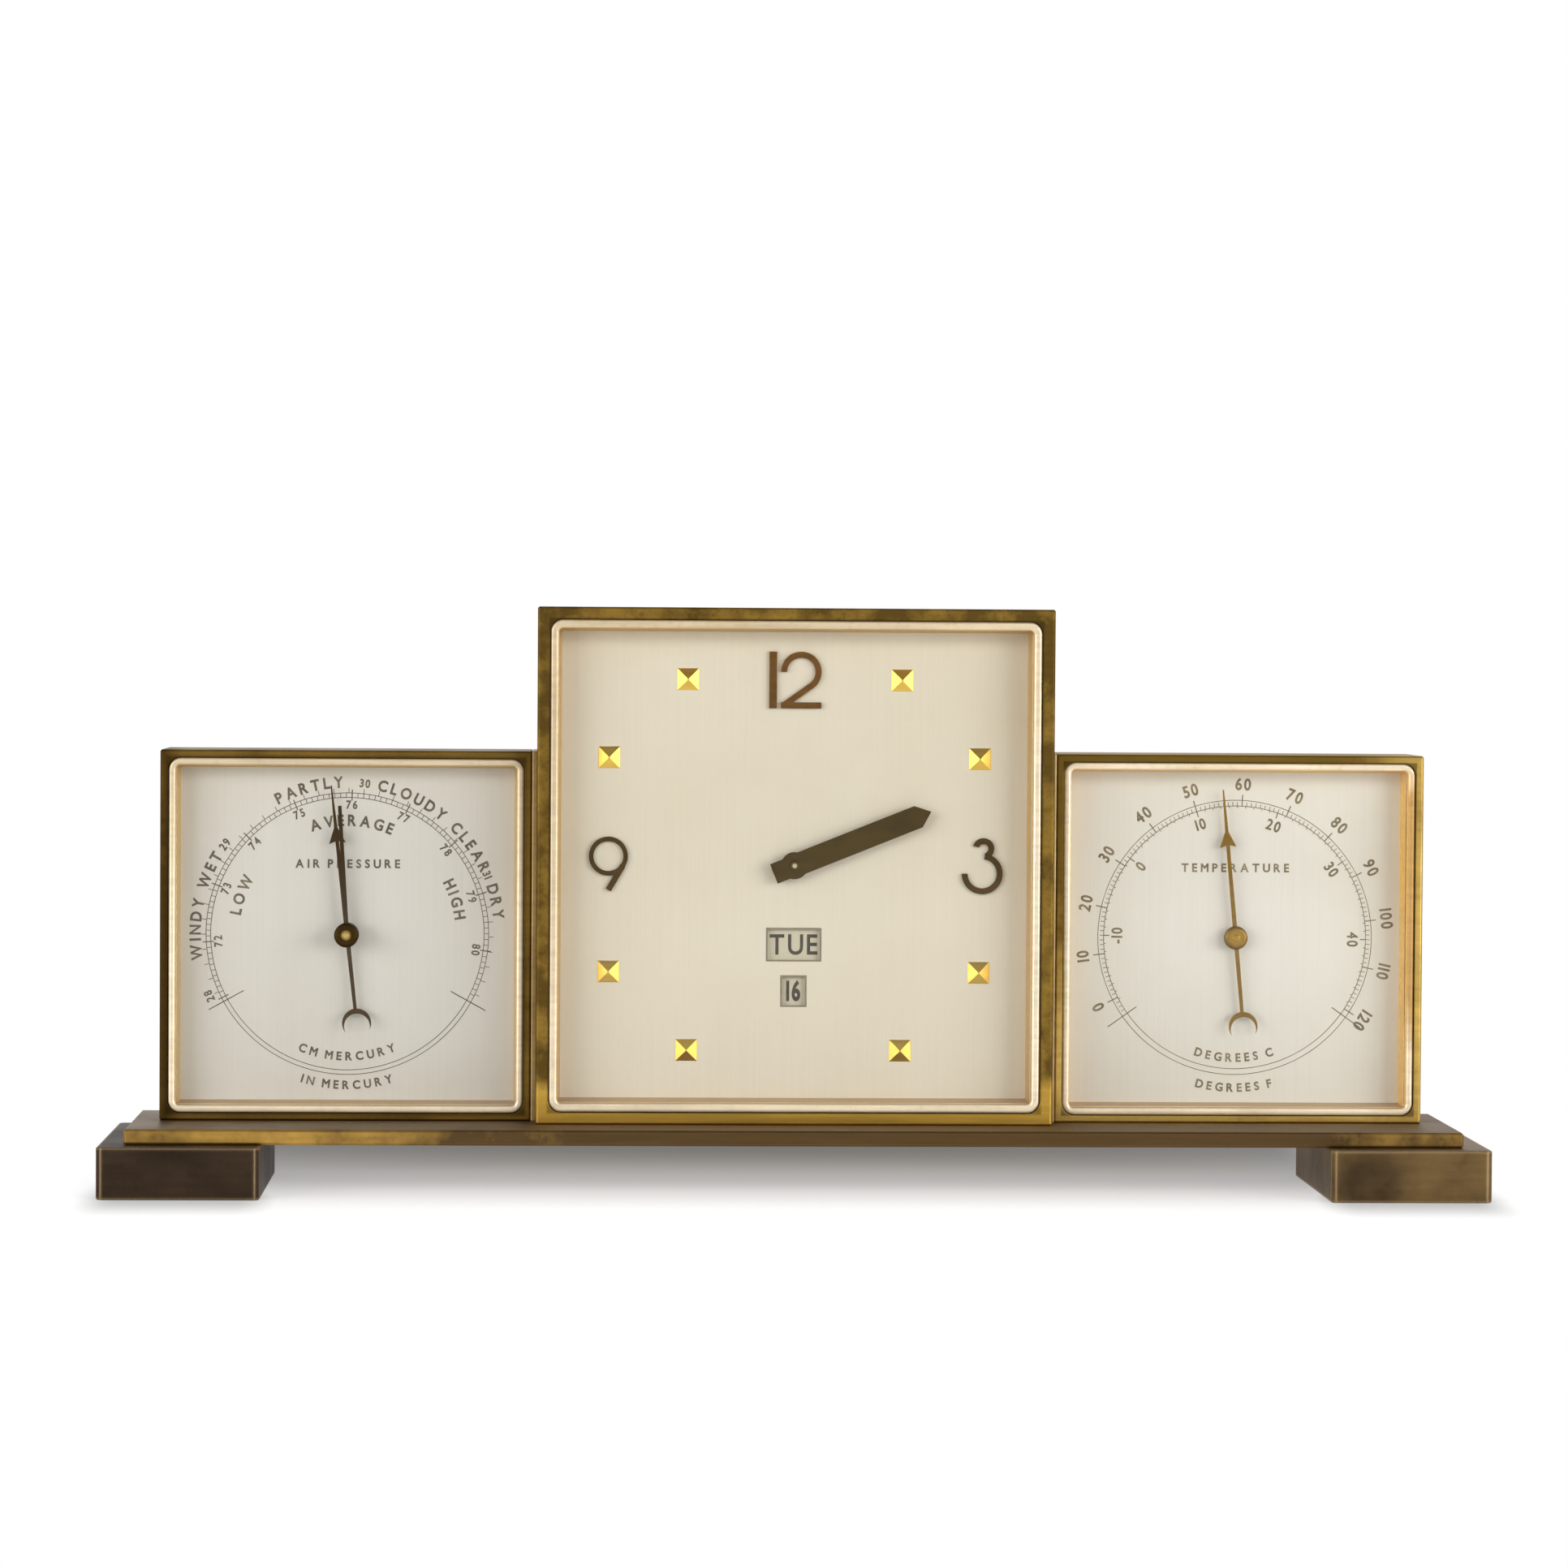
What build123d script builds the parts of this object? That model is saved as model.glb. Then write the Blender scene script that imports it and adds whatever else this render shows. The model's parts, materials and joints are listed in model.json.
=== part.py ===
from build123d import *
from dataclasses import dataclass
from math import atan2, cos, degrees, radians, sin
import os

# A brass desk weather station: a clock with a calendar between a barometer and a thermometer, on a base
# plate with two block feet. Millimetres, +Z up, +X to the right, the dials face -Y. The origin is on the
# table, under the middle of the feet.

# Base plate and feet
plate_depth = 42.0
plate_thickness = 3.0
plate_end_margin = 5.4
plate_back_margin = 1.5
plate_edge = 0.4
foot_width = 31.4
foot_height = 10.2
foot_end_overhang = 4.85
foot_face_overhang = 5.0
foot_edge = 0.9
foot_rim = 0.25
felt_margin = 4.0
felt_thickness = 1.2
felt_play = 0.2

# Cases, bezels, glasses and dials
clock_size = 101.5
side_size = 73.0
clock_rim = 2.4
side_rim = 1.5
clock_lip = 1.75
side_lip = 1.5
strip_thickness = 1.0
rim_corner = 2.5
case_edge = 0.3
lip_set_back = 0.2
lip_depth = 1.6
lip_round = 0.6
opening_corner = 0.8
bezel_play = 0.05
wall_taper = 0.5
glass_thickness = 1.5
glass_bite = 0.6
glass_play = 0.05
clock_dial_gap = 4.7
side_dial_gap = 3.7
dial_thickness = 0.8
dial_play = 0.15
side_mechanism_space = 11.5

# Back covers and their lugs in the case corners
cover_thickness = 1.2
cover_set_back = 0.5
cover_play = 0.15
lug_size = 7.0
lug_length = 4.8
lug_root = 0.5
vent_radius = 1.25
vent_count = 7
vent_spacing = 5.0
vent_height = 14.0

# Screws
base_screw_radius = 1.5
base_screw_head_radius = 2.8
base_screw_head_height = 1.5
base_screw_spread = 20.0
clock_screw_spread = 60.0
foot_screw_spread = 28.0
plate_skin = 0.4
cover_screw_radius = 1.0
cover_screw_head_radius = 2.0
cover_screw_head_height = 1.0
cover_screw_grip = 3.0
screw_play = 0.05
head_play = 0.2
slot_width = 0.6
slot_depth = 0.5

# Clock dial furniture
marker_margin = 3.75
marker_size = 4.3
marker_height = 0.9
marker_top = 0.3
numeral_thickness = 0.7
numeral_height = 11.2
twelve_margin = 9.45
three_margin = 8.85
nine_margin = 9.35
one_width = 1.5
one_shift = -4.4
two_shift = 1.15
two_radius = 4.0
two_stroke = 1.2
three_stroke = 1.15
three_low_radius = 4.05
three_low_shift = -1.5
three_high_radius = 2.1
three_high_shift = 3.45
three_high_offset = 0.25
nine_radius = 3.85
nine_stroke = 0.9
nine_shift = 1.65
nine_tail_width = 1.15
day_window_width = 10.7
day_window_height = 6.4
day_window_drop = 15.7
date_window_width = 4.95
date_window_height = 6.0
date_window_drop = 24.9

# Clock hands, shown at about eleven minutes past two
minute_angle = 68.1
minute_reach = 29.0
minute_width = 4.5
minute_point = 2.7
hand_tail = 4.4
hand_tail_width = 4.1
hand_boss_radius = 2.65
hour_reach = 20.0
hour_width = 2.8
hour_point = 2.2
hand_thickness = 0.5
hand_gap = 0.5
hour_hand_lift = 1.0
arbor_tip_radius = 0.9
arbor_tip_length = 0.4

# Barometer and thermometer needles
barometer_angle = -6.3
thermometer_angle = -5.3
set_hand_angle = -3.35
needle_margin = 3.35
needle_thickness = 0.4
needle_hub_radius = 2.35
needle_hub_height = 1.2
hub_round = 0.7
hub_pin_radius = 0.65
hub_pin_height = 0.3
needle_root_width = 0.9
needle_shaft_width = 0.68
needle_tip_width = 0.24
barb_reach = 18.1
barb_width = 3.3
barb_top = 21.2
barb_notch = 0.5
tail_reach = 17.7
crescent_radius = 2.87
crescent_cut_radius = 2.55
crescent_cut_drop = 0.68
needle_lift = 1.5
needle_arbor_radius = 0.8
needle_pivot_radius = 0.5
set_hand_shortfall = 4.1
set_knob_radius = 2.4
set_knob_height = 1.4
set_spindle_radius = 1.0
set_collet_radius = 1.8
set_collet_height = 0.7

# Calendar and motion work, from the dial back
ring_play = 0.2
ring_thickness = 0.6
wheel_thickness = 0.8
calendar_plate_thickness = 0.8
hour_wheel_play = 0.3
day_disc_radius = 20.2
date_ring_inner = 20.9
date_ring_outer = 28.6
calendar_rim_width = 0.8
calendar_ledge_width = 2.4
calendar_post_radius = 1.2
calendar_angle = 150.0
date_pin_radius = 0.5
date_pin_reach = 0.15
ledge_gap = 0.15
dial_bush_wall = 0.7
dial_hole_play = 0.3
dial_foot_radius = 1.6
dial_foot_inset = 4.0
stud_radius = 0.8
minute_wheel_angle = 250.0

# Movement plates and train
movement_plate_thickness = 1.2
front_plate_margin = 4.35
back_plate_margin = 1.35
pillar_radius = 2.2
pillar_stud_radius = 1.2
pillar_inset = 4.0
train_levels = 7
level_pitch = 1.2
end_shake = 0.2
ratchet_space = 1.4
pinion_overhang = 0.2
arbor_radius = 0.6
pivot_radius = 0.45
running_play = 0.05
fit_play = 0.02
tip_share = 0.4
root_share = 1.2

# Tooth counts and modules of the meshing pairs
barrel_teeth = 78
intermediate_leaves = 12
barrel_module = 0.36
intermediate_teeth = 60
centre_leaves = 12
intermediate_module = 0.40
centre_teeth = 64
third_leaves = 8
centre_module = 0.36
third_teeth = 60
fourth_leaves = 8
third_module = 0.32
fourth_teeth = 70
escape_leaves = 7
fourth_module = 0.28
cannon_leaves = 12
minute_wheel_teeth = 36
hour_wheel_teeth = 40
minute_wheel_leaves = 10
hour_module = 0.40
calendar_leaves = 24
calendar_teeth = 48
calendar_module = 0.39
escape_teeth = 15
escape_tip_radius = 4.5
escape_root_radius = 3.3
ratchet_teeth = 24
ratchet_module = 0.5
sector_teeth = 72
needle_leaves = 12
sector_module = 0.40

# Where each wheel lies, as an angle from the wheel before it
intermediate_angle = 150.0
barrel_angle = 250.0
third_angle = 40.0
fourth_angle = -20.0
escape_angle = -95.0
pallet_angle = -110.0
pallet_distance = 6.2
balance_angle = -130.0
balance_distance = 9.0
sector_angle = -35.0

# Escapement, barrel and winding
pallet_circle = 5.35
pallet_spread = 36.0
pallet_pin_radius = 0.35
pallet_arm_width = 1.2
lever_thickness = 0.6
fork_clearance = 0.5
roller_radius = 1.0
balance_radius = 7.2
balance_rim = 1.2
hairspring_radius = 5.0
hairspring_collet = 1.6
drum_radius = 13.0
drum_wall = 0.9
barrel_core_radius = 3.0
barrel_arbor_radius = 1.5
spring_gap = 0.3
square_size = 2.1
square_play = 0.05
click_distance = 9.2
click_angle = -60.0
click_lead = 38.0
click_gap = 0.2
click_hub_radius = 1.6
key_gap = 0.6
key_socket_radius = 3.2
key_socket_length = 3.0
key_width = 22.0
key_thickness = 2.2
key_depth = 2.8
key_turn = 25.0
centre_arbor_radius = 1.4
hour_pipe_wall = 0.6
centre_tube_wall = 0.42
knob_gap = 1.0
knob_radius = 6.0
knob_length = 5.0
knob_grip = 3.5
knob_knurls = 36
knob_knurl_depth = 0.35

# Frames, capsule and coil of the side instruments
frame_thickness = 1.2
frame_lug_gap = 0.25
frame_post_radius = 1.6
frame_post_inset = 3.0
barometer_bridge_drop = 2.9
thermometer_bridge_drop = 5.9
bridge_thickness = 1.0
sector_drop = 1.1
sector_half_angle = 32.0
sector_hub_radius = 2.4
sector_pin_radius = 0.7
sector_pin_arm = 6.0
sector_slot_radius = 3.3
capsule_radius = 18.0
capsule_wave = 0.5
capsule_waves = 4
capsule_gap = 0.4
capsule_stud_radius = 2.5
capsule_stud_height = 0.7
coil_drop = 1.2
coil_height = 3.0
coil_inner_radius = 3.0
coil_pitch = 1.8
coil_turns = 5
coil_strip = 0.6
coil_collet_gap = 0.3
coil_post_radius = 0.8

# Depths that follow from the stacks
calendar_stack = (5 * ring_play + ring_thickness + 3 * wheel_thickness + calendar_plate_thickness
                  + hour_wheel_play)
train_space = train_levels * level_pitch + end_shake
front_stack = lip_set_back + lip_depth + glass_thickness
cover_stack = cover_thickness + cover_set_back
clock_depth = (front_stack + clock_dial_gap + dial_thickness + calendar_stack
               + 2 * movement_plate_thickness + train_space + ratchet_space + cover_stack)
side_depth = front_stack + side_dial_gap + dial_thickness + side_mechanism_space + cover_stack
plate_top = foot_height + plate_thickness
case_back = plate_depth / 2 - plate_back_margin
cover_back = case_back - cover_set_back
cover_front = cover_back - cover_thickness


@dataclass
class Case:
    """One square instrument case; every place in it follows from these sizes."""
    x: float
    size: float
    rim: float
    lip: float
    depth: float
    dial_gap: float

    def __post_init__(self):
        self.z = plate_top + self.size / 2
        self.inner = self.size - 2 * self.rim
        self.opening = self.inner - 2 * bezel_play - 2 * self.lip
        self.dial_reach = self.opening / 2 - wall_taper
        self.front = case_back - self.depth
        self.lip_front = self.front + lip_set_back
        self.glass_front = self.lip_front + lip_depth
        self.glass_back = self.glass_front + glass_thickness
        self.dial_face = self.glass_back + self.dial_gap
        self.dial_back = self.dial_face + dial_thickness
        self.place = (self.x, self.z)


side_reach = clock_size / 2 + strip_thickness + side_size / 2
clock = Case(0.0, clock_size, clock_rim, clock_lip, clock_depth, clock_dial_gap)
barometer = Case(-side_reach, side_size, side_rim, side_lip, side_depth, side_dial_gap)
thermometer = Case(side_reach, side_size, side_rim, side_lip, side_depth, side_dial_gap)

plate_length = 2 * (side_reach + side_size / 2 + plate_end_margin)
foot_depth = plate_depth + 2 * foot_face_overhang
foot_centre = plate_length / 2 + foot_end_overhang - foot_width / 2
base_screw_length = plate_thickness + side_rim
screw_row = case_back - side_depth / 2

# Depths of the calendar, motion work and movement, from front to back
ring_front = clock.dial_back + ring_play
ring_back = ring_front + ring_thickness
calendar_wheel_front = ring_back + ring_play
calendar_wheel_back = calendar_wheel_front + wheel_thickness
calendar_plate_front = calendar_wheel_back + ring_play
calendar_plate_back = calendar_plate_front + calendar_plate_thickness
hour_wheel_front = calendar_plate_back + hour_wheel_play
hour_wheel_back = hour_wheel_front + wheel_thickness
minute_wheel_front = hour_wheel_back + ring_play
minute_wheel_back = minute_wheel_front + wheel_thickness
front_plate_front = minute_wheel_back + ring_play
train_front = front_plate_front + movement_plate_thickness
train_back = train_front + train_space
back_plate_back = train_back + movement_plate_thickness
ratchet_front = back_plate_back + ring_play
ratchet_back = ratchet_front + wheel_thickness
hour_hand_back = clock.dial_face - hour_hand_lift
hour_hand_front = hour_hand_back - hand_thickness
minute_hand_back = hour_hand_front - hand_gap
minute_hand_front = minute_hand_back - hand_thickness
hour_pipe_bore = centre_arbor_radius + running_play
hour_pipe_radius = hour_pipe_bore + hour_pipe_wall
dial_hole_radius = hour_pipe_radius + dial_hole_play
dial_bush_radius = dial_hole_radius + dial_bush_wall
front_plate_size = clock.inner - 2 * front_plate_margin
back_plate_size = clock.inner - 2 * (lug_size + back_plate_margin)
marker_circle = clock.dial_reach - marker_margin
needle_reach = barometer.dial_reach - needle_margin
set_hand_reach = needle_reach - set_hand_shortfall
knob_front = cover_back + knob_gap
key_front = cover_back + key_gap


def polar(place, distance, angle):
    """The point at a distance and angle from a place, seen from the front."""
    return (place[0] + distance * cos(radians(angle)), place[1] + distance * sin(radians(angle)))


def direction(start, end):
    return degrees(atan2(end[1] - start[1], end[0] - start[0]))


def mesh_distance(teeth, leaves, module):
    return (teeth + leaves) * module / 2


centre_at = clock.place
intermediate_at = polar(centre_at, mesh_distance(intermediate_teeth, centre_leaves, intermediate_module),
                        intermediate_angle)
barrel_at = polar(intermediate_at, mesh_distance(barrel_teeth, intermediate_leaves, barrel_module),
                  barrel_angle)
third_at = polar(centre_at, mesh_distance(centre_teeth, third_leaves, centre_module), third_angle)
fourth_at = polar(third_at, mesh_distance(third_teeth, fourth_leaves, third_module), fourth_angle)
escape_at = polar(fourth_at, mesh_distance(fourth_teeth, escape_leaves, fourth_module), escape_angle)
pallet_at = polar(escape_at, pallet_distance, pallet_angle)
balance_at = polar(pallet_at, balance_distance, balance_angle)
motion_distance = mesh_distance(hour_wheel_teeth, minute_wheel_leaves, hour_module)
cannon_module = 2 * motion_distance / (cannon_leaves + minute_wheel_teeth)
minute_wheel_at = polar(centre_at, motion_distance, minute_wheel_angle)
calendar_at = polar(centre_at, mesh_distance(calendar_teeth, calendar_leaves, calendar_module),
                    calendar_angle)
click_at = polar(barrel_at, click_distance, click_angle)
sector_at = polar(barometer.place, mesh_distance(sector_teeth, needle_leaves, sector_module), sector_angle)
sector_pin_at = polar(sector_at, sector_pin_arm, direction(sector_at, barometer.place))
train_places = [intermediate_at, third_at, fourth_at, escape_at, pallet_at, balance_at]


def level(number):
    """Front of a train level, counted back from the front plate."""
    return train_front + number * level_pitch


def slab(outline, front, back):
    """An outline seen from the front, x to the right and y up, given thickness from front to back."""
    seen = Plane(origin=(0, back, 0), x_dir=(1, 0, 0), z_dir=(0, -1, 0))
    return extrude(seen * outline, amount=back - front)


def rod(place, radius, front, back):
    return slab(Pos(*place) * Circle(radius), front, back)


def square_sheet(case, size, corner, front, back):
    outline = RectangleRounded(size, size, corner) if corner else Rectangle(size, size)
    return slab(Pos(*case.place) * outline, front, back)


def corners(case, reach):
    """The four points at the same reach from a case's middle, left and right, low and high."""
    return [(case.x + sx * reach, case.z + sz * reach) for sx in (-1, 1) for sz in (-1, 1)]


def toothed(place, teeth, tip, root, phase):
    """A wheel outline with pointed teeth, one of them at the phase angle."""
    points = []
    for tooth in range(teeth):
        points.append(polar(place, tip, phase + tooth * 360 / teeth))
        points.append(polar(place, root, phase + (tooth + 0.5) * 360 / teeth))
    return Polygon(*points, align=None)


def wheel(place, teeth, module, partner):
    """A wheel with a tooth that points at its partner."""
    pitch_radius = teeth * module / 2
    return toothed(place, teeth, pitch_radius + tip_share * module, pitch_radius - root_share * module,
                   direction(place, partner))


def pinion(place, leaves, module, partner):
    """A pinion with a gap that faces its partner."""
    pitch_radius = leaves * module / 2
    return toothed(place, leaves, pitch_radius + tip_share * module, pitch_radius - root_share * module,
                   direction(place, partner) + 180 / leaves)


def arbor(place):
    """A train arbor between the plates, with a pivot in each plate."""
    body = rod(place, arbor_radius, train_front + end_shake / 2, train_back - end_shake / 2)
    return body + rod(place, pivot_radius, front_plate_front, back_plate_back)


def wheel_at_level(outline, number):
    return slab(outline, level(number), level(number) + wheel_thickness)


def pinion_at_level(outline, number):
    return slab(outline, level(number) - pinion_overhang, level(number) + wheel_thickness + pinion_overhang)


# Base plate, feet, felts and screws
def base_screw(x, y, z):
    """A countersunk screw, head down, with its driver slot."""
    head = Cone(base_screw_head_radius, base_screw_radius, base_screw_head_height,
                align=(Align.CENTER, Align.CENTER, Align.MIN))
    shank = Cylinder(base_screw_radius, base_screw_length, align=(Align.CENTER, Align.CENTER, Align.MIN))
    slot = Box(3 * base_screw_head_radius, slot_width, 2 * slot_depth)
    return Pos(x, y, z) * (head + shank - slot)


def base_screw_room(x, y, z, bottom):
    """The clearance hole for a base screw, with a straight way in from below."""
    grown = screw_play + base_screw_radius
    cone = Cone(base_screw_head_radius + screw_play, grown, base_screw_head_height,
                align=(Align.CENTER, Align.CENTER, Align.MIN))
    shank = Cylinder(grown, base_screw_length + screw_play, align=(Align.CENTER, Align.CENTER, Align.MIN))
    room = Pos(x, y, z) * (cone + shank)
    if bottom < z:
        entry = Cylinder(base_screw_head_radius + head_play, z - bottom,
                         align=(Align.CENTER, Align.CENTER, Align.MIN))
        room += Pos(x, y, bottom) * entry
    return room


foot_screw_bottom = plate_top - plate_skin - base_screw_length
foot_screw_places = [(sx * foot_centre, sy * foot_screw_spread / 2, foot_screw_bottom)
                     for sx in (-1, 1) for sy in (-1, 1)]
case_screw_places = [(case.x + sx * spread / 2, screw_row, foot_height)
                     for case, spread in ((clock, clock_screw_spread), (barometer, base_screw_spread),
                                          (thermometer, base_screw_spread))
                     for sx in (-1, 1)]


def base_screws():
    return Compound(children=[base_screw(*place) for place in foot_screw_places + case_screw_places])


def base_plate():
    plate = Pos(0, 0, foot_height + plate_thickness / 2) * Box(plate_length, plate_depth, plate_thickness)
    plate = chamfer(plate.edges(), plate_edge)
    for place in foot_screw_places + case_screw_places:
        plate -= base_screw_room(*place, place[2])
    return plate


def felt_room(side, play):
    width = foot_width - 2 * felt_margin - 2 * play
    depth = foot_depth - 2 * felt_margin - 2 * play
    return Pos(side * foot_centre, 0, felt_thickness / 2) * Box(width, depth, felt_thickness)


def foot(side):
    block = Pos(side * foot_centre, 0, foot_height / 2) * Box(foot_width, foot_depth, foot_height)
    block = chamfer(block.edges().filter_by(Axis.Z), foot_edge)
    ends = block.faces().sort_by(Axis.Z)
    block = chamfer(ends[0].edges() + ends[-1].edges(), foot_rim)
    block -= felt_room(side, 0)
    for place in foot_screw_places:
        if place[0] * side > 0:
            block -= base_screw_room(*place, 0)
    return block


def foot_felts():
    return Compound(children=[felt_room(side, felt_play) for side in (-1, 1)])


# Cases and what closes them
def lug_reach(case):
    return case.inner / 2 - lug_size / 2


def case_shell(case):
    shell = square_sheet(case, case.size, 0, case.front, case_back)
    shell = chamfer(shell.edges(), case_edge)
    shell -= square_sheet(case, case.inner, rim_corner, case.front, case_back)
    lug_span = lug_size + lug_root
    for place in corners(case, lug_reach(case)):
        outward = [lug_root / 2 * (1 if place[i] > case.place[i] else -1) for i in (0, 1)]
        lug = Pos(place[0] + outward[0], place[1] + outward[1]) * Rectangle(lug_span, lug_span)
        shell += slab(lug, cover_front - lug_length, cover_front)
        shell -= rod(place, cover_screw_radius + screw_play, cover_front - cover_screw_grip - screw_play,
                     cover_front)
    for place in case_screw_places:
        if abs(place[0] - case.x) < case.size / 2:
            shell -= base_screw_room(*place, place[2])
    return shell


def joining_strips():
    strips = []
    for side in (-1, 1):
        middle = side * (clock_size + strip_thickness) / 2
        box = Box(strip_thickness, side_depth, side_size)
        strips.append(Pos(middle, case_back - side_depth / 2, plate_top + side_size / 2) * box)
    return Compound(children=strips)


def bezel(case):
    """A bright frame: a rounded lip, a groove for the glass and a wall that leans in to the dial."""
    size = case.inner - 2 * bezel_play
    frame = square_sheet(case, size, rim_corner - bezel_play, case.lip_front, case.dial_face)
    frame -= square_sheet(case, case.opening, opening_corner, case.lip_front, case.glass_front)
    frame -= square_sheet(case, case.opening + 2 * glass_bite, 0, case.glass_front, case.glass_back)
    sections = []
    for y, span in ((case.glass_back, case.opening), (case.dial_face, case.opening - 2 * wall_taper)):
        seen = Plane(origin=(case.x, y, case.z), x_dir=(1, 0, 0), z_dir=(0, -1, 0))
        sections.append(seen * Rectangle(span, span))
    frame -= loft(sections, ruled=True)
    return fillet(frame.faces().sort_by(Axis.Y)[0].edges(), lip_round)


def glass(case):
    size = case.opening + 2 * (glass_bite - glass_play)
    return square_sheet(case, size, 0, case.glass_front + glass_play, case.glass_back - glass_play)


def barometer_glass():
    hole = rod(barometer.place, set_spindle_radius + running_play, barometer.glass_front,
               barometer.glass_back)
    return glass(barometer) - hole


def dial_sheet(case, front, back):
    return square_sheet(case, case.inner - 2 * dial_play, rim_corner - dial_play, front, back)


def side_dial(case):
    hole = rod(case.place, needle_arbor_radius + dial_hole_play, case.dial_face, case.dial_back)
    return dial_sheet(case, case.dial_face, case.dial_back) - hole


def back_cover(case, holes):
    """A sunk cover with its screw holes and the round holes listed as place and radius."""
    cover = square_sheet(case, case.inner - 2 * cover_play, rim_corner - cover_play, cover_front, cover_back)
    for place in corners(case, lug_reach(case)):
        cover -= rod(place, cover_screw_radius + head_play, cover_front, cover_back)
    for place, radius in holes:
        cover -= rod(place, radius, cover_front, cover_back)
    return cover


def vents(case):
    middle = (vent_count - 1) / 2
    return [((case.x + (i - middle) * vent_spacing, case.z - vent_height), vent_radius)
            for i in range(vent_count)]


def cover_screw(place):
    head = rod(place, cover_screw_head_radius, cover_back, cover_back + cover_screw_head_height)
    slot = slab(Pos(*place) * Rectangle(3 * cover_screw_head_radius, slot_width),
                cover_back + cover_screw_head_height - slot_depth, cover_back + cover_screw_head_height)
    return head - slot + rod(place, cover_screw_radius, cover_front - cover_screw_grip, cover_back)


def back_cover_screws():
    places = [place for case in (clock, barometer, thermometer) for place in corners(case, lug_reach(case))]
    return Compound(children=[cover_screw(place) for place in places])


# Clock dial and its furniture
def clock_dial():
    dial = dial_sheet(clock, clock.dial_face, clock.dial_back)
    dial += rod(centre_at, dial_bush_radius, clock.dial_back, ring_back)
    dial -= rod(centre_at, dial_hole_radius, clock.dial_face, ring_back)
    for drop, width, height in ((day_window_drop, day_window_width, day_window_height),
                                (date_window_drop, date_window_width, date_window_height)):
        window = Pos(clock.x, clock.z - drop) * Rectangle(width, height)
        dial -= slab(window, clock.dial_face, clock.dial_back)
    for place in corners(clock, front_plate_size / 2 - dial_foot_inset):
        dial += rod(place, dial_foot_radius, clock.dial_back, front_plate_front)
    return dial


def hour_markers():
    """Eight four-sided pyramids at the hours that have no numeral and no window."""
    markers = []
    for hour in (1, 2, 4, 5, 7, 8, 10, 11):
        place = polar(centre_at, marker_circle, 90 - 30 * hour)
        sections = []
        for y, size in ((clock.dial_face, marker_size), (clock.dial_face - marker_height, marker_top)):
            seen = Plane(origin=(place[0], y, place[1]), x_dir=(1, 0, 0), z_dir=(0, -1, 0))
            sections.append(seen * Rectangle(size, size))
        markers.append(loft(sections, ruled=True))
    return Compound(children=markers)


def arc_stroke(place, radius, stroke, start, sweep):
    """A bent bar of the stroke's width along a circle of the outer radius, anticlockwise from start."""
    ring = Circle(radius) - Circle(radius - stroke)
    fan = [(0, 0)] + [polar((0, 0), 2 * radius, start + sweep * i / 6) for i in range(7)]
    return Pos(*place) * (ring & Polygon(*fan, align=None))


def bar(start, end, width):
    length = ((end[0] - start[0]) ** 2 + (end[1] - start[1]) ** 2) ** 0.5
    middle = ((start[0] + end[0]) / 2, (start[1] + end[1]) / 2)
    return Pos(*middle) * Rot(0, 0, direction(start, end)) * Rectangle(length, width)


def numeral_two():
    """A round top that runs into a straight slant and a flat foot."""
    low = -numeral_height / 2
    bowl_at = (0, numeral_height / 2 - two_radius)
    lean = 42.0
    turn = polar(bowl_at, two_radius - two_stroke / 2, lean - 90)
    heel = (-two_radius + two_stroke / 2, low + two_stroke / 2)
    foot_bar = Pos(0, low + two_stroke / 2) * Rectangle(2 * two_radius, two_stroke)
    top = arc_stroke(bowl_at, two_radius, two_stroke, lean - 90, 270 - lean)
    return top + bar(turn, heel, two_stroke) + foot_bar


def numeral_three():
    low_bowl = arc_stroke((0, three_low_shift), three_low_radius, three_stroke, -180, 262)
    high_bowl = arc_stroke((three_high_offset, three_high_shift), three_high_radius, three_stroke, -75, 240)
    return low_bowl + high_bowl


def numeral_nine():
    ring_at = (0, nine_shift)
    ring = Pos(*ring_at) * (Circle(nine_radius) - Circle(nine_radius - nine_stroke))
    shoulder = polar(ring_at, nine_radius - nine_stroke / 2, -32)
    return ring + bar(shoulder, (0, -numeral_height / 2 + nine_tail_width / 2), nine_tail_width)


def dial_numerals():
    """The applied 12, 3 and 9; the 12 is two pieces."""
    reach = clock.dial_reach
    twelve = (clock.x, clock.z + reach - twelve_margin)
    outlines = [Pos(twelve[0] + one_shift, twelve[1]) * Rectangle(one_width, numeral_height),
                Pos(twelve[0] + two_shift, twelve[1]) * numeral_two(),
                Pos(clock.x + reach - three_margin, clock.z) * numeral_three(),
                Pos(clock.x - reach + nine_margin, clock.z) * numeral_nine()]
    return Compound(children=[slab(outline, clock.dial_face - numeral_thickness, clock.dial_face)
                              for outline in outlines])


# Hands
def baton(reach, width, point):
    """A flat baton hand that points up, with a round boss, a square tail and a short point."""
    half = width / 2
    blade = Polygon((-half, 0), (half, 0), (half, reach - point), (0, reach), (-half, reach - point),
                    align=None)
    tail = Pos(0, -hand_tail / 2) * Rectangle(hand_tail_width * width / minute_width, hand_tail)
    return blade + tail + Circle(hand_boss_radius)


def minute_hand():
    outline = Pos(*centre_at) * Rot(0, 0, -minute_angle) * baton(minute_reach, minute_width, minute_point)
    hand = slab(outline, minute_hand_front, minute_hand_back)
    return hand - rod(centre_at, arbor_tip_radius + fit_play, minute_hand_front, minute_hand_back)


def hour_hand():
    angle = 60 + minute_angle / 12
    outline = Pos(*centre_at) * Rot(0, 0, -angle) * baton(hour_reach, hour_width, hour_point)
    hand = slab(outline, hour_hand_front, hour_hand_back)
    return hand - rod(centre_at, hour_pipe_radius + fit_play, hour_hand_front, hour_hand_back)


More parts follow.
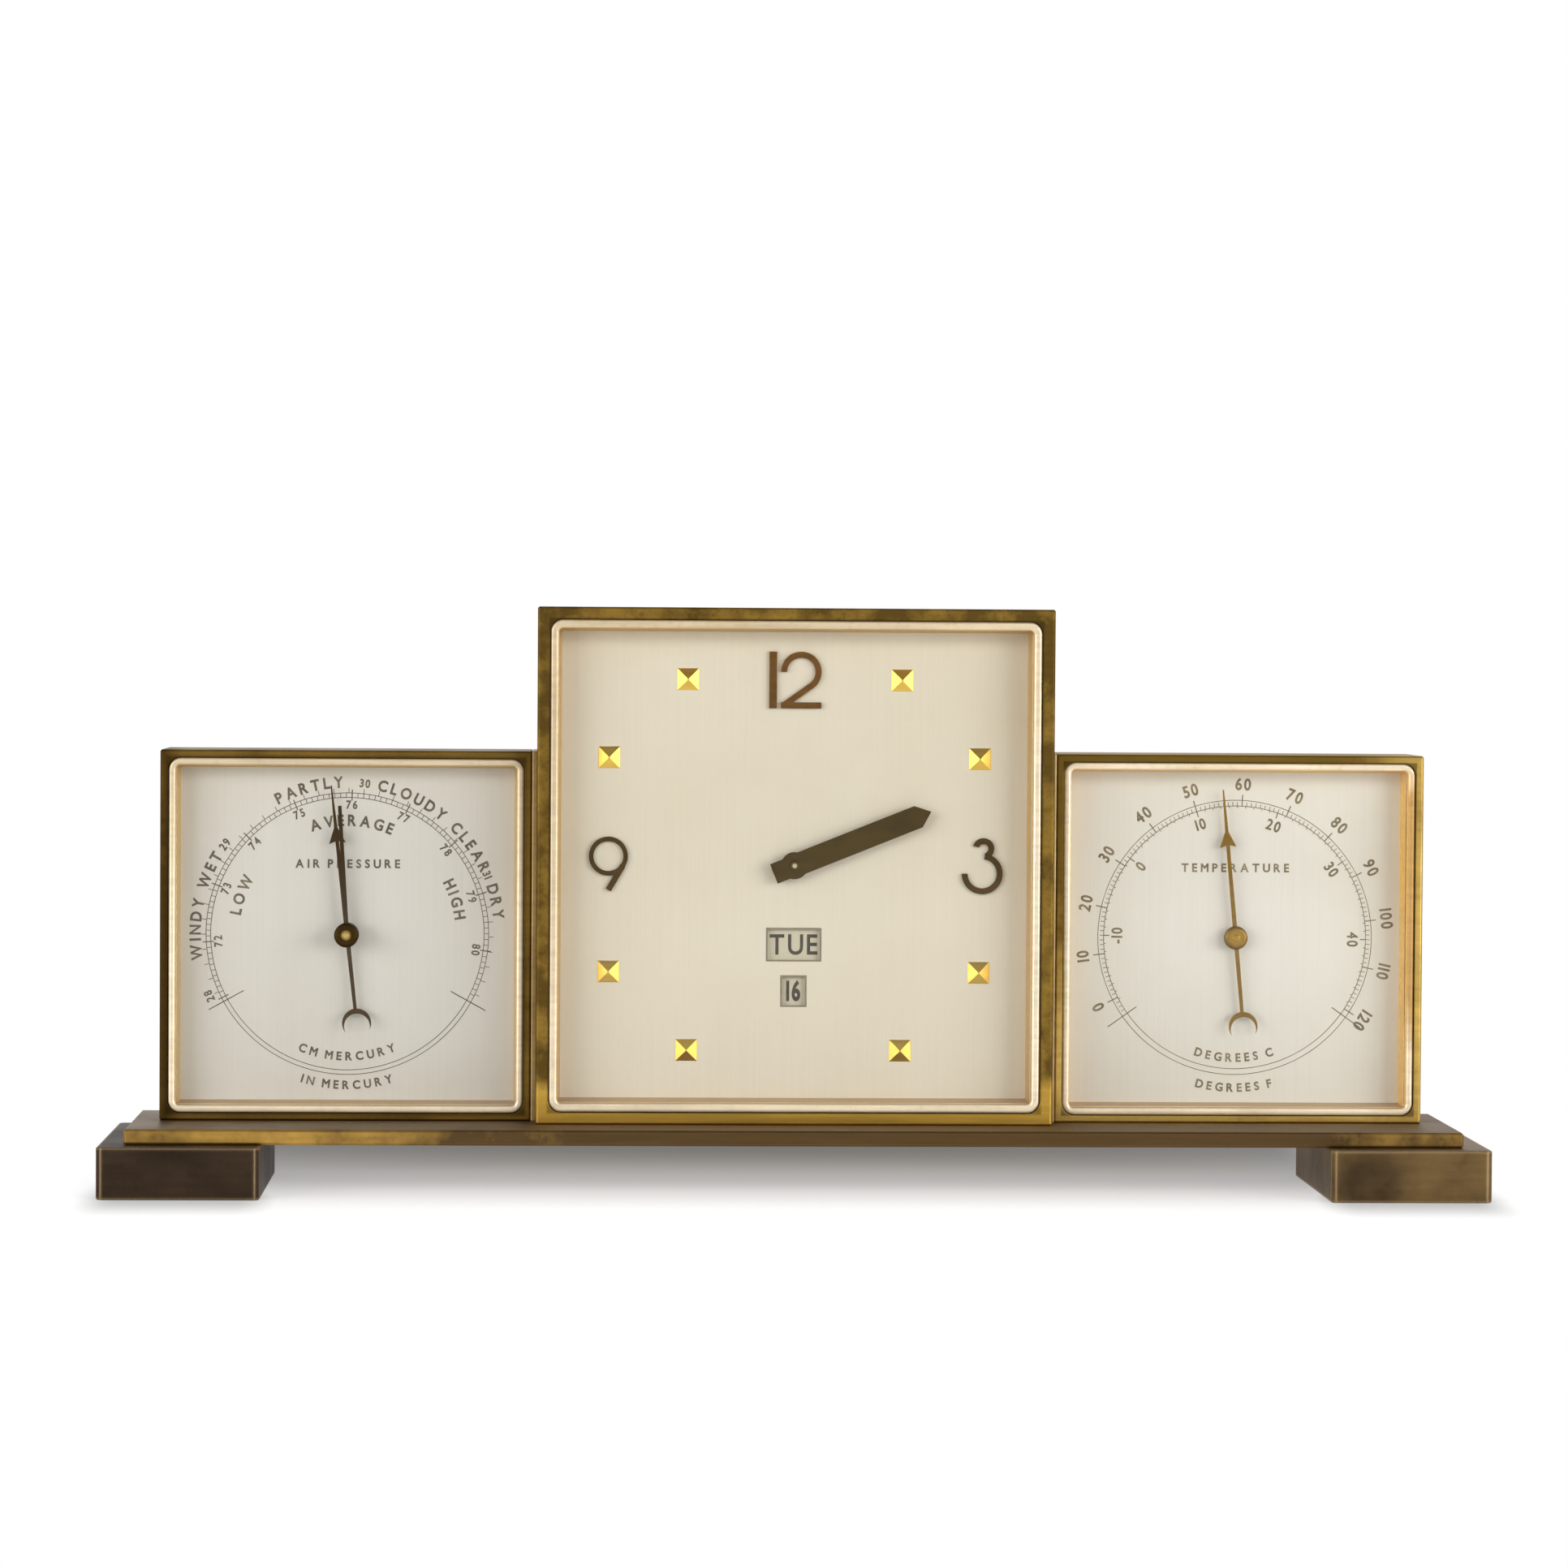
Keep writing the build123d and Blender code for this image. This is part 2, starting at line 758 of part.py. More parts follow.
def needle_outline():
    """A slender needle that points up, with a barbed arrow and a crescent on its tail."""
    def taper(low, low_width, high, high_width):
        return Polygon((-low_width / 2, low), (low_width / 2, low), (high_width / 2, high),
                       (-high_width / 2, high), align=None)

    shaft = taper(0, needle_root_width, barb_top, needle_shaft_width)
    tip = taper(barb_top, needle_shaft_width, needle_reach, needle_tip_width)
    barbs = Polygon((-barb_width / 2, barb_reach), (0, barb_reach + barb_notch), (barb_width / 2, barb_reach),
                    (needle_shaft_width / 2, barb_top), (-needle_shaft_width / 2, barb_top), align=None)
    tail_end = tail_reach - crescent_radius + (crescent_radius - crescent_cut_radius) / 2
    tail = taper(-tail_end, needle_shaft_width, 0, needle_root_width)
    crescent = Circle(crescent_radius) - Pos(0, -crescent_cut_drop) * Circle(crescent_cut_radius)
    return shaft + tip + barbs + tail + Pos(0, -tail_reach) * crescent


def needle(case, angle):
    """A needle with its hub, at its lift over the dial."""
    back = case.dial_face - needle_lift
    hand = slab(Pos(*case.place) * Rot(0, 0, -angle) * needle_outline(), back - needle_thickness, back)
    hub = rod(case.place, needle_hub_radius, back - needle_hub_height, back)
    hub = fillet(hub.faces().sort_by(Axis.Y)[0].edges(), hub_round)
    return hand + hub


def hub_pin(case, front):
    """The small pin that stands out of the middle of a hub."""
    return rod(case.place, hub_pin_radius, front - hub_pin_height, front)


def needle_arbor(case, bridge_front):
    start = case.dial_face - needle_lift
    staff = rod(case.place, needle_arbor_radius, start, bridge_front - end_shake / 2)
    return staff + rod(case.place, needle_pivot_radius, start, bridge_front + bridge_thickness)


# Clock motion work and calendar
def hour_wheel():
    bored = rod(centre_at, hour_pipe_bore, hour_hand_front, hour_wheel_back)
    disc = slab(wheel(centre_at, hour_wheel_teeth, hour_module, minute_wheel_at), hour_wheel_front,
                hour_wheel_back)
    drive = slab(pinion(centre_at, calendar_leaves, calendar_module, calendar_at), calendar_wheel_front,
                 calendar_wheel_back)
    return disc + drive + rod(centre_at, hour_pipe_radius, hour_hand_front, hour_wheel_back) - bored


def minute_wheel():
    disc = slab(wheel(minute_wheel_at, minute_wheel_teeth, cannon_module, centre_at), minute_wheel_front,
                minute_wheel_back)
    leaves = slab(pinion(minute_wheel_at, minute_wheel_leaves, hour_module, centre_at), hour_wheel_front,
                  minute_wheel_front)
    return disc + leaves - rod(minute_wheel_at, stud_radius + running_play, hour_wheel_front,
                               minute_wheel_back)


def centre_arbor():
    shaft = rod(centre_at, centre_arbor_radius, minute_hand_back, knob_front + knob_grip)
    shaft += rod(centre_at, arbor_tip_radius, minute_hand_front - arbor_tip_length, minute_hand_back)
    cannon = slab(pinion(centre_at, cannon_leaves, cannon_module, minute_wheel_at), minute_wheel_front,
                  minute_wheel_back)
    return shaft + cannon


def set_knob():
    knob = slab(toothed(centre_at, knob_knurls, knob_radius, knob_radius - knob_knurl_depth, 0), knob_front,
                knob_front + knob_length)
    return knob - rod(centre_at, centre_arbor_radius + fit_play, knob_front, knob_front + knob_grip)


def day_disc():
    disc = rod(centre_at, day_disc_radius, ring_front, ring_back)
    return disc - rod(centre_at, dial_bush_radius + running_play, ring_front, ring_back)


def date_ring():
    """A ring with one inner tooth for each day of the month."""
    ring = rod(centre_at, date_ring_outer, ring_front, ring_back)
    inner = toothed(centre_at, 31, date_ring_inner + calendar_rim_width, date_ring_inner, 90)
    return ring - slab(inner, ring_front, ring_back)


def calendar_wheel():
    disc = slab(wheel(calendar_at, calendar_teeth, calendar_module, centre_at), calendar_wheel_front,
                calendar_wheel_back)
    pin_arm = (date_ring_inner + calendar_rim_width / 2
               - mesh_distance(calendar_teeth, calendar_leaves, calendar_module))
    pin_at = polar(calendar_at, pin_arm, calendar_angle)
    disc += rod(pin_at, date_pin_radius, calendar_wheel_front - date_pin_reach, calendar_wheel_front)
    return disc - rod(calendar_at, stud_radius + running_play, calendar_wheel_front, calendar_wheel_back)


def calendar_plate():
    """A dish that holds the date ring by its edge, with a stud for the calendar wheel and four posts."""
    bore = date_ring_outer + ring_play
    outer = bore + calendar_rim_width
    plate = rod(centre_at, outer, calendar_plate_front, calendar_plate_back)
    rim = rod(centre_at, outer, ring_front, calendar_plate_front)
    plate += rim - rod(centre_at, bore, ring_front, calendar_plate_front)
    ledge_front = ring_back + ledge_gap
    ledge = rod(centre_at, bore, ledge_front, calendar_plate_front)
    plate += ledge - rod(centre_at, bore - calendar_ledge_width, ledge_front, calendar_plate_front)
    plate -= rod(centre_at, hour_pipe_radius + dial_hole_play, calendar_plate_front, calendar_plate_back)
    plate += rod(calendar_at, stud_radius, calendar_wheel_front, calendar_plate_front)
    for angle in (45, 135, 225, 315):
        post_at = polar(centre_at, bore - calendar_ledge_width / 2, angle)
        plate += rod(post_at, calendar_post_radius, calendar_plate_back, front_plate_front)
    return plate


# Movement
def pillar_places():
    return corners(clock, back_plate_size / 2 - pillar_inset)


def movement_front_plate():
    plate = square_sheet(clock, front_plate_size, 0, front_plate_front, train_front)
    for place in train_places + [barrel_at]:
        plate -= rod(place, pivot_radius + running_play, front_plate_front, train_front)
    plate -= rod(centre_at, centre_arbor_radius + running_play, front_plate_front, train_front)
    return plate + rod(minute_wheel_at, stud_radius, hour_wheel_front, front_plate_front)


def movement_back_plate():
    plate = square_sheet(clock, back_plate_size, 0, train_back, back_plate_back)
    for place in train_places:
        plate -= rod(place, pivot_radius + running_play, train_back, back_plate_back)
    for place in pillar_places():
        plate -= rod(place, pillar_stud_radius + fit_play, train_back, back_plate_back)
    plate -= rod(centre_at, centre_arbor_radius + running_play, train_back, back_plate_back)
    plate -= rod(barrel_at, barrel_arbor_radius + running_play, train_back, back_plate_back)
    return plate + rod(click_at, stud_radius, back_plate_back, ratchet_back)


def movement_pillars():
    return Compound(children=[rod(place, pillar_radius, train_front, train_back)
                              + rod(place, pillar_stud_radius, train_back, cover_front)
                              for place in pillar_places()])


def mainspring_barrel():
    drum_front = level(0) + end_shake
    floor = level(3)
    drum = rod(barrel_at, drum_radius, drum_front, floor)
    drum -= rod(barrel_at, drum_radius - drum_wall, drum_front, floor)
    drum += wheel_at_level(wheel(barrel_at, barrel_teeth, barrel_module, intermediate_at), 3)
    return drum - rod(barrel_at, barrel_arbor_radius + running_play, floor, floor + wheel_thickness)


def mainspring():
    """The coiled spring as one ring that fills the barrel."""
    front = level(0) + end_shake + spring_gap
    back = level(3) - spring_gap
    ring = rod(barrel_at, drum_radius - drum_wall - spring_gap, front, back)
    return ring - rod(barrel_at, barrel_core_radius + spring_gap, front, back)


def barrel_arbor():
    shaft = rod(barrel_at, barrel_arbor_radius, train_front + end_shake / 2, ratchet_back)
    shaft += rod(barrel_at, pivot_radius, front_plate_front, train_front + end_shake)
    shaft += rod(barrel_at, barrel_core_radius, level(0) + end_shake + spring_gap, level(3) - spring_gap)
    square = Pos(*barrel_at) * Rectangle(square_size, square_size)
    return shaft + slab(square, ratchet_back, key_front + key_socket_length)


def ratchet_wheel():
    disc = slab(wheel(barrel_at, ratchet_teeth, ratchet_module, click_at), ratchet_front, ratchet_back)
    return disc - rod(barrel_at, barrel_arbor_radius + fit_play, ratchet_front, ratchet_back)


def ratchet_click():
    tip_circle = ratchet_teeth * ratchet_module / 2 + tip_share * ratchet_module + click_gap
    nose = polar(barrel_at, tip_circle, click_angle + click_lead)
    across = direction(click_at, nose) + 90
    arm = Polygon(polar(click_at, click_hub_radius, across), polar(click_at, -click_hub_radius, across), nose,
                  align=None)
    outline = arm + Pos(*click_at) * Circle(click_hub_radius)
    return slab(outline, ratchet_front, ratchet_back) - rod(click_at, stud_radius + running_play,
                                                            ratchet_front, ratchet_back)


def winding_key():
    """A low butterfly key on the barrel square."""
    socket_back = key_front + key_socket_length
    key = rod(barrel_at, key_socket_radius, key_front, socket_back)
    room = square_size + 2 * square_play
    key -= slab(Pos(*barrel_at) * Rectangle(room, room), key_front, socket_back)
    wings = Pos(*barrel_at) * Rot(0, 0, key_turn) * SlotOverall(key_width, key_thickness)
    return key + slab(wings, socket_back, socket_back + key_depth)


def intermediate_wheel():
    body = arbor(intermediate_at)
    body += wheel_at_level(wheel(intermediate_at, intermediate_teeth, intermediate_module, centre_at), 5)
    return body + pinion_at_level(pinion(intermediate_at, intermediate_leaves, barrel_module, barrel_at), 3)


def centre_wheel():
    """The centre wheel and its pinion on a tube that grips the centre arbor by friction."""
    bore = centre_arbor_radius + running_play
    back = level(6) + wheel_thickness
    body = rod(centre_at, bore + centre_tube_wall, train_front + end_shake / 2, back)
    body += wheel_at_level(wheel(centre_at, centre_teeth, centre_module, third_at), 6)
    body += pinion_at_level(pinion(centre_at, centre_leaves, intermediate_module, intermediate_at), 5)
    return body - rod(centre_at, bore, train_front, back)


def third_wheel():
    body = arbor(third_at) + wheel_at_level(wheel(third_at, third_teeth, third_module, fourth_at), 3)
    return body + pinion_at_level(pinion(third_at, third_leaves, centre_module, centre_at), 6)


def fourth_wheel():
    body = arbor(fourth_at) + wheel_at_level(wheel(fourth_at, fourth_teeth, fourth_module, escape_at), 5)
    return body + pinion_at_level(pinion(fourth_at, fourth_leaves, third_module, third_at), 3)


def escape_wheel():
    teeth = toothed(escape_at, escape_teeth, escape_tip_radius, escape_root_radius, 0)
    body = arbor(escape_at) + wheel_at_level(teeth, 2)
    return body + pinion_at_level(pinion(escape_at, escape_leaves, fourth_module, fourth_at), 5)


def pallet_lever():
    """An anchor with two pins beside the escape wheel and a fork towards the balance."""
    outline = Pos(*pallet_at) * Circle(pallet_arm_width)
    body = arbor(pallet_at)
    for side in (-1, 1):
        pin_at = polar(escape_at, pallet_circle, pallet_angle + side * pallet_spread)
        outline += bar(pallet_at, pin_at, pallet_arm_width) + Pos(*pin_at) * Circle(pallet_arm_width / 2)
    fork_end = polar(pallet_at, balance_distance - roller_radius - fork_clearance, balance_angle)
    outline += bar(pallet_at, fork_end, pallet_arm_width)
    lever_front = level(2) + wheel_thickness + end_shake
    return body + slab(outline, lever_front, lever_front + lever_thickness) + pallet_pins()


def pallet_pins():
    pins = [rod(polar(escape_at, pallet_circle, pallet_angle + side * pallet_spread), pallet_pin_radius,
                level(2), level(3)) for side in (-1, 1)]
    return pins[0] + pins[1]


def balance_wheel():
    rim = Circle(balance_radius) - Circle(balance_radius - balance_rim)
    spoke = Rectangle(2 * balance_radius - balance_rim, balance_rim)
    body = arbor(balance_at) + wheel_at_level(Pos(*balance_at) * (rim + spoke), 4)
    body += rod(balance_at, roller_radius, level(2), level(3))
    return body + rod(balance_at, hairspring_collet, level(5), level(6))


def hairspring():
    """The fine flat spring of the balance as one thin ring."""
    ring = rod(balance_at, hairspring_radius, level(5) + end_shake, level(5) + wheel_thickness)
    return ring - rod(balance_at, hairspring_collet + fit_play, level(5), level(6))


# Barometer and thermometer mechanisms
def instrument_frame(case, bridge_front):
    """A base on the back cover, four posts up to the dial and a bridge that carries the needle."""
    base_front = cover_front - frame_thickness
    frame_size = case.inner - 2 * (lug_size + frame_lug_gap)
    outline = Pos(*case.place) * Rectangle(frame_size, frame_size)
    frame = slab(outline, base_front, cover_front)
    for place in corners(case, frame_size / 2 - frame_post_inset):
        frame += rod(place, frame_post_radius, case.dial_back, base_front)
    frame += slab(outline, bridge_front, bridge_front + bridge_thickness)
    return frame - rod(case.place, needle_pivot_radius + running_play, bridge_front,
                       bridge_front + bridge_thickness)


barometer_bridge = barometer.dial_back + barometer_bridge_drop
thermometer_bridge = thermometer.dial_back + thermometer_bridge_drop
sector_front = barometer.dial_back + sector_drop


def barometer_frame():
    frame = instrument_frame(barometer, barometer_bridge)
    frame -= rod(sector_pin_at, sector_slot_radius, barometer_bridge, barometer_bridge + bridge_thickness)
    return frame + rod(sector_at, stud_radius, sector_front, barometer_bridge)


def barometer_hand():
    leaves = slab(pinion(barometer.place, needle_leaves, sector_module, sector_at),
                  sector_front - pinion_overhang, sector_front + wheel_thickness + pinion_overhang)
    return needle(barometer, barometer_angle) + needle_arbor(barometer, barometer_bridge) + leaves


def barometer_sector():
    """A toothed fan that turns the needle, with a pin that reaches back to the capsule."""
    facing = direction(sector_at, barometer.place)
    far = sector_teeth * sector_module
    fan = Polygon(sector_at, polar(sector_at, far, facing - sector_half_angle), polar(sector_at, far, facing),
                  polar(sector_at, far, facing + sector_half_angle), align=None)
    outline = wheel(sector_at, sector_teeth, sector_module, barometer.place) & fan
    outline += Pos(*sector_at) * Circle(sector_hub_radius)
    body = slab(outline, sector_front, sector_front + wheel_thickness)
    body += rod(sector_pin_at, sector_pin_radius, sector_front, barometer_bridge + bridge_thickness)
    return body - rod(sector_at, stud_radius + running_play, sector_front, sector_front + wheel_thickness)


def barometer_set_hand():
    """A brass pointer behind the glass, turned by a small knob in front of it."""
    front = barometer.glass_front - glass_play
    back = barometer.glass_back + glass_play
    knob = rod(barometer.place, set_knob_radius, front - set_knob_height, front)
    knob = fillet(knob.faces().sort_by(Axis.Y)[0].edges(), hub_round)
    knob += hub_pin(barometer, front - set_knob_height)
    body = knob + rod(barometer.place, set_spindle_radius, front, back)
    body += rod(barometer.place, set_collet_radius, back, back + set_collet_height)
    half = needle_root_width / 2
    blade = Polygon((-half, 0), (half, 0), (needle_shaft_width / 2, set_hand_reach),
                    (-needle_shaft_width / 2, set_hand_reach), align=None)
    outline = Pos(*barometer.place) * Rot(0, 0, -set_hand_angle) * blade
    return body + slab(outline, back + needle_thickness / 2, back + needle_thickness * 1.5)


def aneroid_capsule():
    """A ribbed vacuum capsule on a short stud."""
    front = barometer_bridge + bridge_thickness + capsule_gap
    back = cover_front - frame_thickness - capsule_stud_height
    step = capsule_radius / (2 * capsule_waves + 1)
    profile = [(0, front)]
    for i in range(1, 2 * capsule_waves + 1):
        profile.append((i * step, front + (capsule_wave if i % 2 else 0)))
    profile += [(capsule_radius, front + 2 * capsule_wave), (capsule_radius, back - capsule_wave),
                (capsule_radius - step, back), (0, back)]
    face = Pos(barometer.x, 0, barometer.z) * Polygon(*profile, align=None)
    body = revolve(face, Axis((barometer.x, 0, barometer.z), (0, 1, 0)))
    return body + rod(barometer.place, capsule_stud_radius, back, back + capsule_stud_height)


coil_front = thermometer.dial_back + coil_drop
coil_back = coil_front + coil_height
coil_post_at = (thermometer.x + coil_inner_radius + coil_turns * coil_pitch,
                thermometer.z + coil_post_radius + fit_play)


def bimetal_coil():
    """A flat strip wound in half circles about two centres, half a pitch apart."""
    outline = None
    for turn in range(coil_turns):
        for half in (0, 1):
            radius = coil_inner_radius + (turn + half / 2) * coil_pitch
            ring = Circle(radius + coil_strip / 2) - Circle(radius - coil_strip / 2)
            side = Pos(0, (0.5 - half) * 4 * radius) * Rectangle(4 * radius, 4 * radius)
            piece = Pos(half * coil_pitch / 2, 0) * (ring & side)
            outline = piece if outline is None else outline + piece
    print("bimetal coil: least gap between turns", round(coil_pitch - coil_strip, 3))
    return slab(Pos(*thermometer.place) * outline, coil_front, coil_back)


def thermometer_frame():
    """The frame with the post that holds the coil's outer end."""
    frame = instrument_frame(thermometer, thermometer_bridge)
    return frame + rod(coil_post_at, coil_post_radius, coil_front, thermometer_bridge)


def thermometer_hand():
    collet = rod(thermometer.place, coil_inner_radius - coil_strip / 2 - coil_collet_gap, coil_front,
                 coil_back)
    hand = needle(thermometer, thermometer_angle) + needle_arbor(thermometer, thermometer_bridge) + collet
    return hand + hub_pin(thermometer, thermometer.dial_face - needle_lift - needle_hub_height)


clock_cover_holes = [(centre_at, centre_arbor_radius + dial_hole_play),
                     (barrel_at, barrel_arbor_radius + dial_hole_play)]

pieces = {
    "base_plate": base_plate(),
    "foot_left": foot(-1),
    "foot_right": foot(1),
    "foot_felts": foot_felts(),
    "base_screws": base_screws(),
    "joining_strips": joining_strips(),
    "clock_case": case_shell(clock),
    "clock_bezel": bezel(clock),
    "clock_glass": glass(clock),
    "clock_dial": clock_dial(),
    "hour_markers": hour_markers(),
    "dial_numerals": dial_numerals(),
    "hour_hand": hour_hand(),
    "minute_hand": minute_hand(),
    "hour_wheel": hour_wheel(),
    "minute_wheel": minute_wheel(),
    "centre_arbor": centre_arbor(),
    "set_knob": set_knob(),
    "day_disc": day_disc(),
    "date_ring": date_ring(),
    "calendar_wheel": calendar_wheel(),
    "calendar_plate": calendar_plate(),
    "movement_front_plate": movement_front_plate(),
    "movement_back_plate": movement_back_plate(),
    "movement_pillars": movement_pillars(),
    "mainspring_barrel": mainspring_barrel(),
    "mainspring": mainspring(),
    "barrel_arbor": barrel_arbor(),
    "ratchet_wheel": ratchet_wheel(),
    "ratchet_click": ratchet_click(),
    "winding_key": winding_key(),
    "intermediate_wheel": intermediate_wheel(),
    "centre_wheel": centre_wheel(),
    "third_wheel": third_wheel(),
    "fourth_wheel": fourth_wheel(),
    "escape_wheel": escape_wheel(),
    "pallet_lever": pallet_lever(),
    "balance_wheel": balance_wheel(),
    "hairspring": hairspring(),
    "clock_back_cover": back_cover(clock, clock_cover_holes),
    "barometer_case": case_shell(barometer),
    "barometer_bezel": bezel(barometer),
    "barometer_glass": barometer_glass(),
    "barometer_dial": side_dial(barometer),
    "barometer_hand": barometer_hand(),
    "barometer_set_hand": barometer_set_hand(),
    "barometer_frame": barometer_frame(),
    "barometer_sector": barometer_sector(),
    "aneroid_capsule": aneroid_capsule(),
    "barometer_back_cover": back_cover(barometer, vents(barometer)),
    "thermometer_case": case_shell(thermometer),
    "thermometer_bezel": bezel(thermometer),
    "thermometer_glass": glass(thermometer),
    "thermometer_dial": side_dial(thermometer),
    "thermometer_hand": thermometer_hand(),
    "thermometer_frame": thermometer_frame(),
    "bimetal_coil": bimetal_coil(),
    "thermometer_back_cover": back_cover(thermometer, vents(thermometer)),
    "back_cover_screws": back_cover_screws(),
}

os.makedirs("parts", exist_ok=True)
for name, shape in pieces.items():
    export_step(shape, f"parts/{name}.step")
print(len(pieces), "pieces; clock", round(clock_depth, 2), "deep, side cases", round(side_depth, 2))
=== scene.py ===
# %% [markdown]
# # A brass desk weather clock
# A square clock with a calendar stands between a square barometer and a square thermometer, on a brass
# plate with two block feet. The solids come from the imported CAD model, in metres and already in place.
# This lesson adds what CAD leaves out: the camera, the light, the old brass, the satin dials, the glass
# and the print.

# %% Load the frame
import bpy
import bmesh
import json
from collections import namedtuple
from math import cos, degrees, radians, sin, tau
from mathutils import Matrix, Vector


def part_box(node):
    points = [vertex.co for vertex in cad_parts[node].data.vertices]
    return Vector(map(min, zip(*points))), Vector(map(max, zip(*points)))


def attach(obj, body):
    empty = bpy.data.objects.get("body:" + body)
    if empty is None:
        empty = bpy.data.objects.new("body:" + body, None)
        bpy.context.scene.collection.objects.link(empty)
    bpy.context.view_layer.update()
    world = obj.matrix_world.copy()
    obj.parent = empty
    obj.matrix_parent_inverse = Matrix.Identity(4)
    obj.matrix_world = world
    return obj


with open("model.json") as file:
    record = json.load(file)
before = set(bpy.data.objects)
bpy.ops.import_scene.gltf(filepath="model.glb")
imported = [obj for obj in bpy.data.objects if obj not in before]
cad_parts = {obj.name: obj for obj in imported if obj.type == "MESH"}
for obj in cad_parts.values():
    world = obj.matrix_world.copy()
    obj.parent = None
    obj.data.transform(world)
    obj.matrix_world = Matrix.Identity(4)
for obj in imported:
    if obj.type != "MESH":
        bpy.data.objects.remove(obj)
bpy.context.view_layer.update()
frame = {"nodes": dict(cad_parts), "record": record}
scene = bpy.context.scene
mm = 0.001
print("CAD nodes:", len(frame["nodes"]))

# %% [markdown]
# ## Camera
# The picture is taken a little from the left and a little from above, about a metre away, with a long
# lens. A camera can be pushed about by eye until the outlines agree. Here its place, turn and lens were
# worked out from the corners of the feet, the plate and the three cases, because so many straight edges
# fix it well.

# %% Camera
camera = bpy.data.cameras.new("camera")
camera.sensor_width = 36.0
camera.lens = 121.0
camera_object = bpy.data.objects.new("camera", camera)
camera_object.location = (-0.0420, -1.0401, 0.1087)
camera_object.rotation_euler = (radians(90 - 1.58), radians(-0.364), radians(-2.187))
scene.collection.objects.link(camera_object)
scene.camera = camera_object
scene.view_settings.view_transform = "Standard"
print("Lens:", camera.lens, "mm at", tuple(camera_object.location))

# %% [markdown]
# ## Nodes written as code
# The world and every finish are node trees. They could be wired by hand in the shader editor. In code,
# one helper adds a node and fills its sockets, so that each finish below stays short enough to read at
# a glance.

# %% Node helpers
def add(tree, kind, inputs=None, **settings):
    """Adds a shader node, sets its properties, and links or sets each named input."""
    node = tree.nodes.new("ShaderNode" + kind)
    for name, value in settings.items():
        setattr(node, name, value)
    for name, value in (inputs or {}).items():
        if isinstance(value, bpy.types.NodeSocket):
            tree.links.new(value, node.inputs[name])
        else:
            node.inputs[name].default_value = value
    return node


def maths(tree, operation, *values, clamp=False):
    """One sum on one, two or three values."""
    return add(tree, "Math", dict(enumerate(values)), operation=operation, use_clamp=clamp).outputs[0]


def ramp(tree, value, span, levels=(0.0, 1.0), soft=False):
    """Turns a span of a value into a pair of levels, with eased ends if soft."""
    ends = {"From Min": span[0], "From Max": span[1], "To Min": levels[0], "To Max": levels[1]}
    easing = "SMOOTHSTEP" if soft else "LINEAR"
    return add(tree, "MapRange", {"Value": value, **ends}, interpolation_type=easing).outputs[0]


print("Blender", bpy.app.version_string)

# %% [markdown]
# ## The room
# The object stands on white paper in a light room. A panorama picture could stand for that room, but
# its shapes would then show in the brass. Here the world has plain levels of white, chosen by the kind
# of ray. The camera sees full white. Brass sees white behind the object and a dim room in front of it,
# because a flat polished face that looks at the camera mirrors what is behind the camera. All else gets
# a soft, even light.

# %% World
WHITE = (1.0, 1.0, 1.0, 1.0)
EVEN_LIGHT = 0.30
DIM_ROOM = 0.18

world = bpy.data.worlds.new("studio")
world.use_nodes = True
scene.world = world
tree = world.node_tree
tree.nodes.clear()
path = add(tree, "LightPath").outputs
toward = add(tree, "SeparateXYZ", {0: add(tree, "TexCoord").outputs["Generated"]}).outputs
room = ramp(tree, toward["Y"], (-0.2, 0.3), (DIM_ROOM, 1.0))
bounced = add(tree, "Mix", {0: path["Is Glossy Ray"], 2: EVEN_LIGHT, 3: room}).outputs[0]
direct = maths(tree, "MAXIMUM", path["Is Camera Ray"], path["Is Transmission Ray"])
level = add(tree, "Mix", {0: direct, 2: bounced, 3: 1.0}).outputs[0]
sky = add(tree, "Background", {"Color": WHITE, "Strength": level})
add(tree, "OutputWorld", {"Surface": sky.outputs[0]})
print("World:", world.name, "with", len(tree.nodes), "nodes")

# %% [markdown]
# ## Lamps
# Two large soft lamps stand in front, left and right, and a weaker one hangs higher up between them.
# Point lamps would also light the object, but with hard shadows and tiny highlights. An area lamp gives
# a shadow as soft as the lamp is wide, and its broad reflection draws the rounded lips of the bezels as
# bright lines.

# %% Lamps
def lamp(name, place, target, size, watts):
    """A soft lamp of a width and a height that looks at a target."""
    data = bpy.data.lights.new(name, "AREA")
    data.shape = "RECTANGLE"
    data.size, data.size_y = size
    data.energy = watts
    item = bpy.data.objects.new(name, data)
    item.location = place
    item.rotation_euler = (Vector(target) - Vector(place)).to_track_quat("-Z", "Y").to_euler()
    scene.collection.objects.link(item)
    print(name, watts, "W")


lamp("left_lamp", (-0.88, -0.78, 0.26), (0, 0, 0.06), (0.9, 0.5), 7.4)
lamp("right_lamp", (0.88, -0.78, 0.26), (0, 0, 0.06), (0.9, 0.5), 8.3)
lamp("front_lamp", (0.0, -1.10, 0.56), (0, 0, 0.05), (1.2, 0.3), 1.9)

# %% [markdown]
# ## Floor
# The floor is a sheet of white paper that runs on past the picture's edges. A curved backdrop is the
# usual studio way, but a flat sheet that fades to pure white further off looks the same and works from
# every side.

# %% Floor sheet
floor_mesh = bpy.data.meshes.new("floor")
shape = bmesh.new()
bmesh.ops.create_grid(shape, x_segments=2, y_segments=2, size=6.0)
shape.to_mesh(floor_mesh)
shape.free()
floor = bpy.data.objects.new("floor", floor_mesh)
scene.collection.objects.link(floor)
print("Floor:", len(floor_mesh.polygons), "faces")

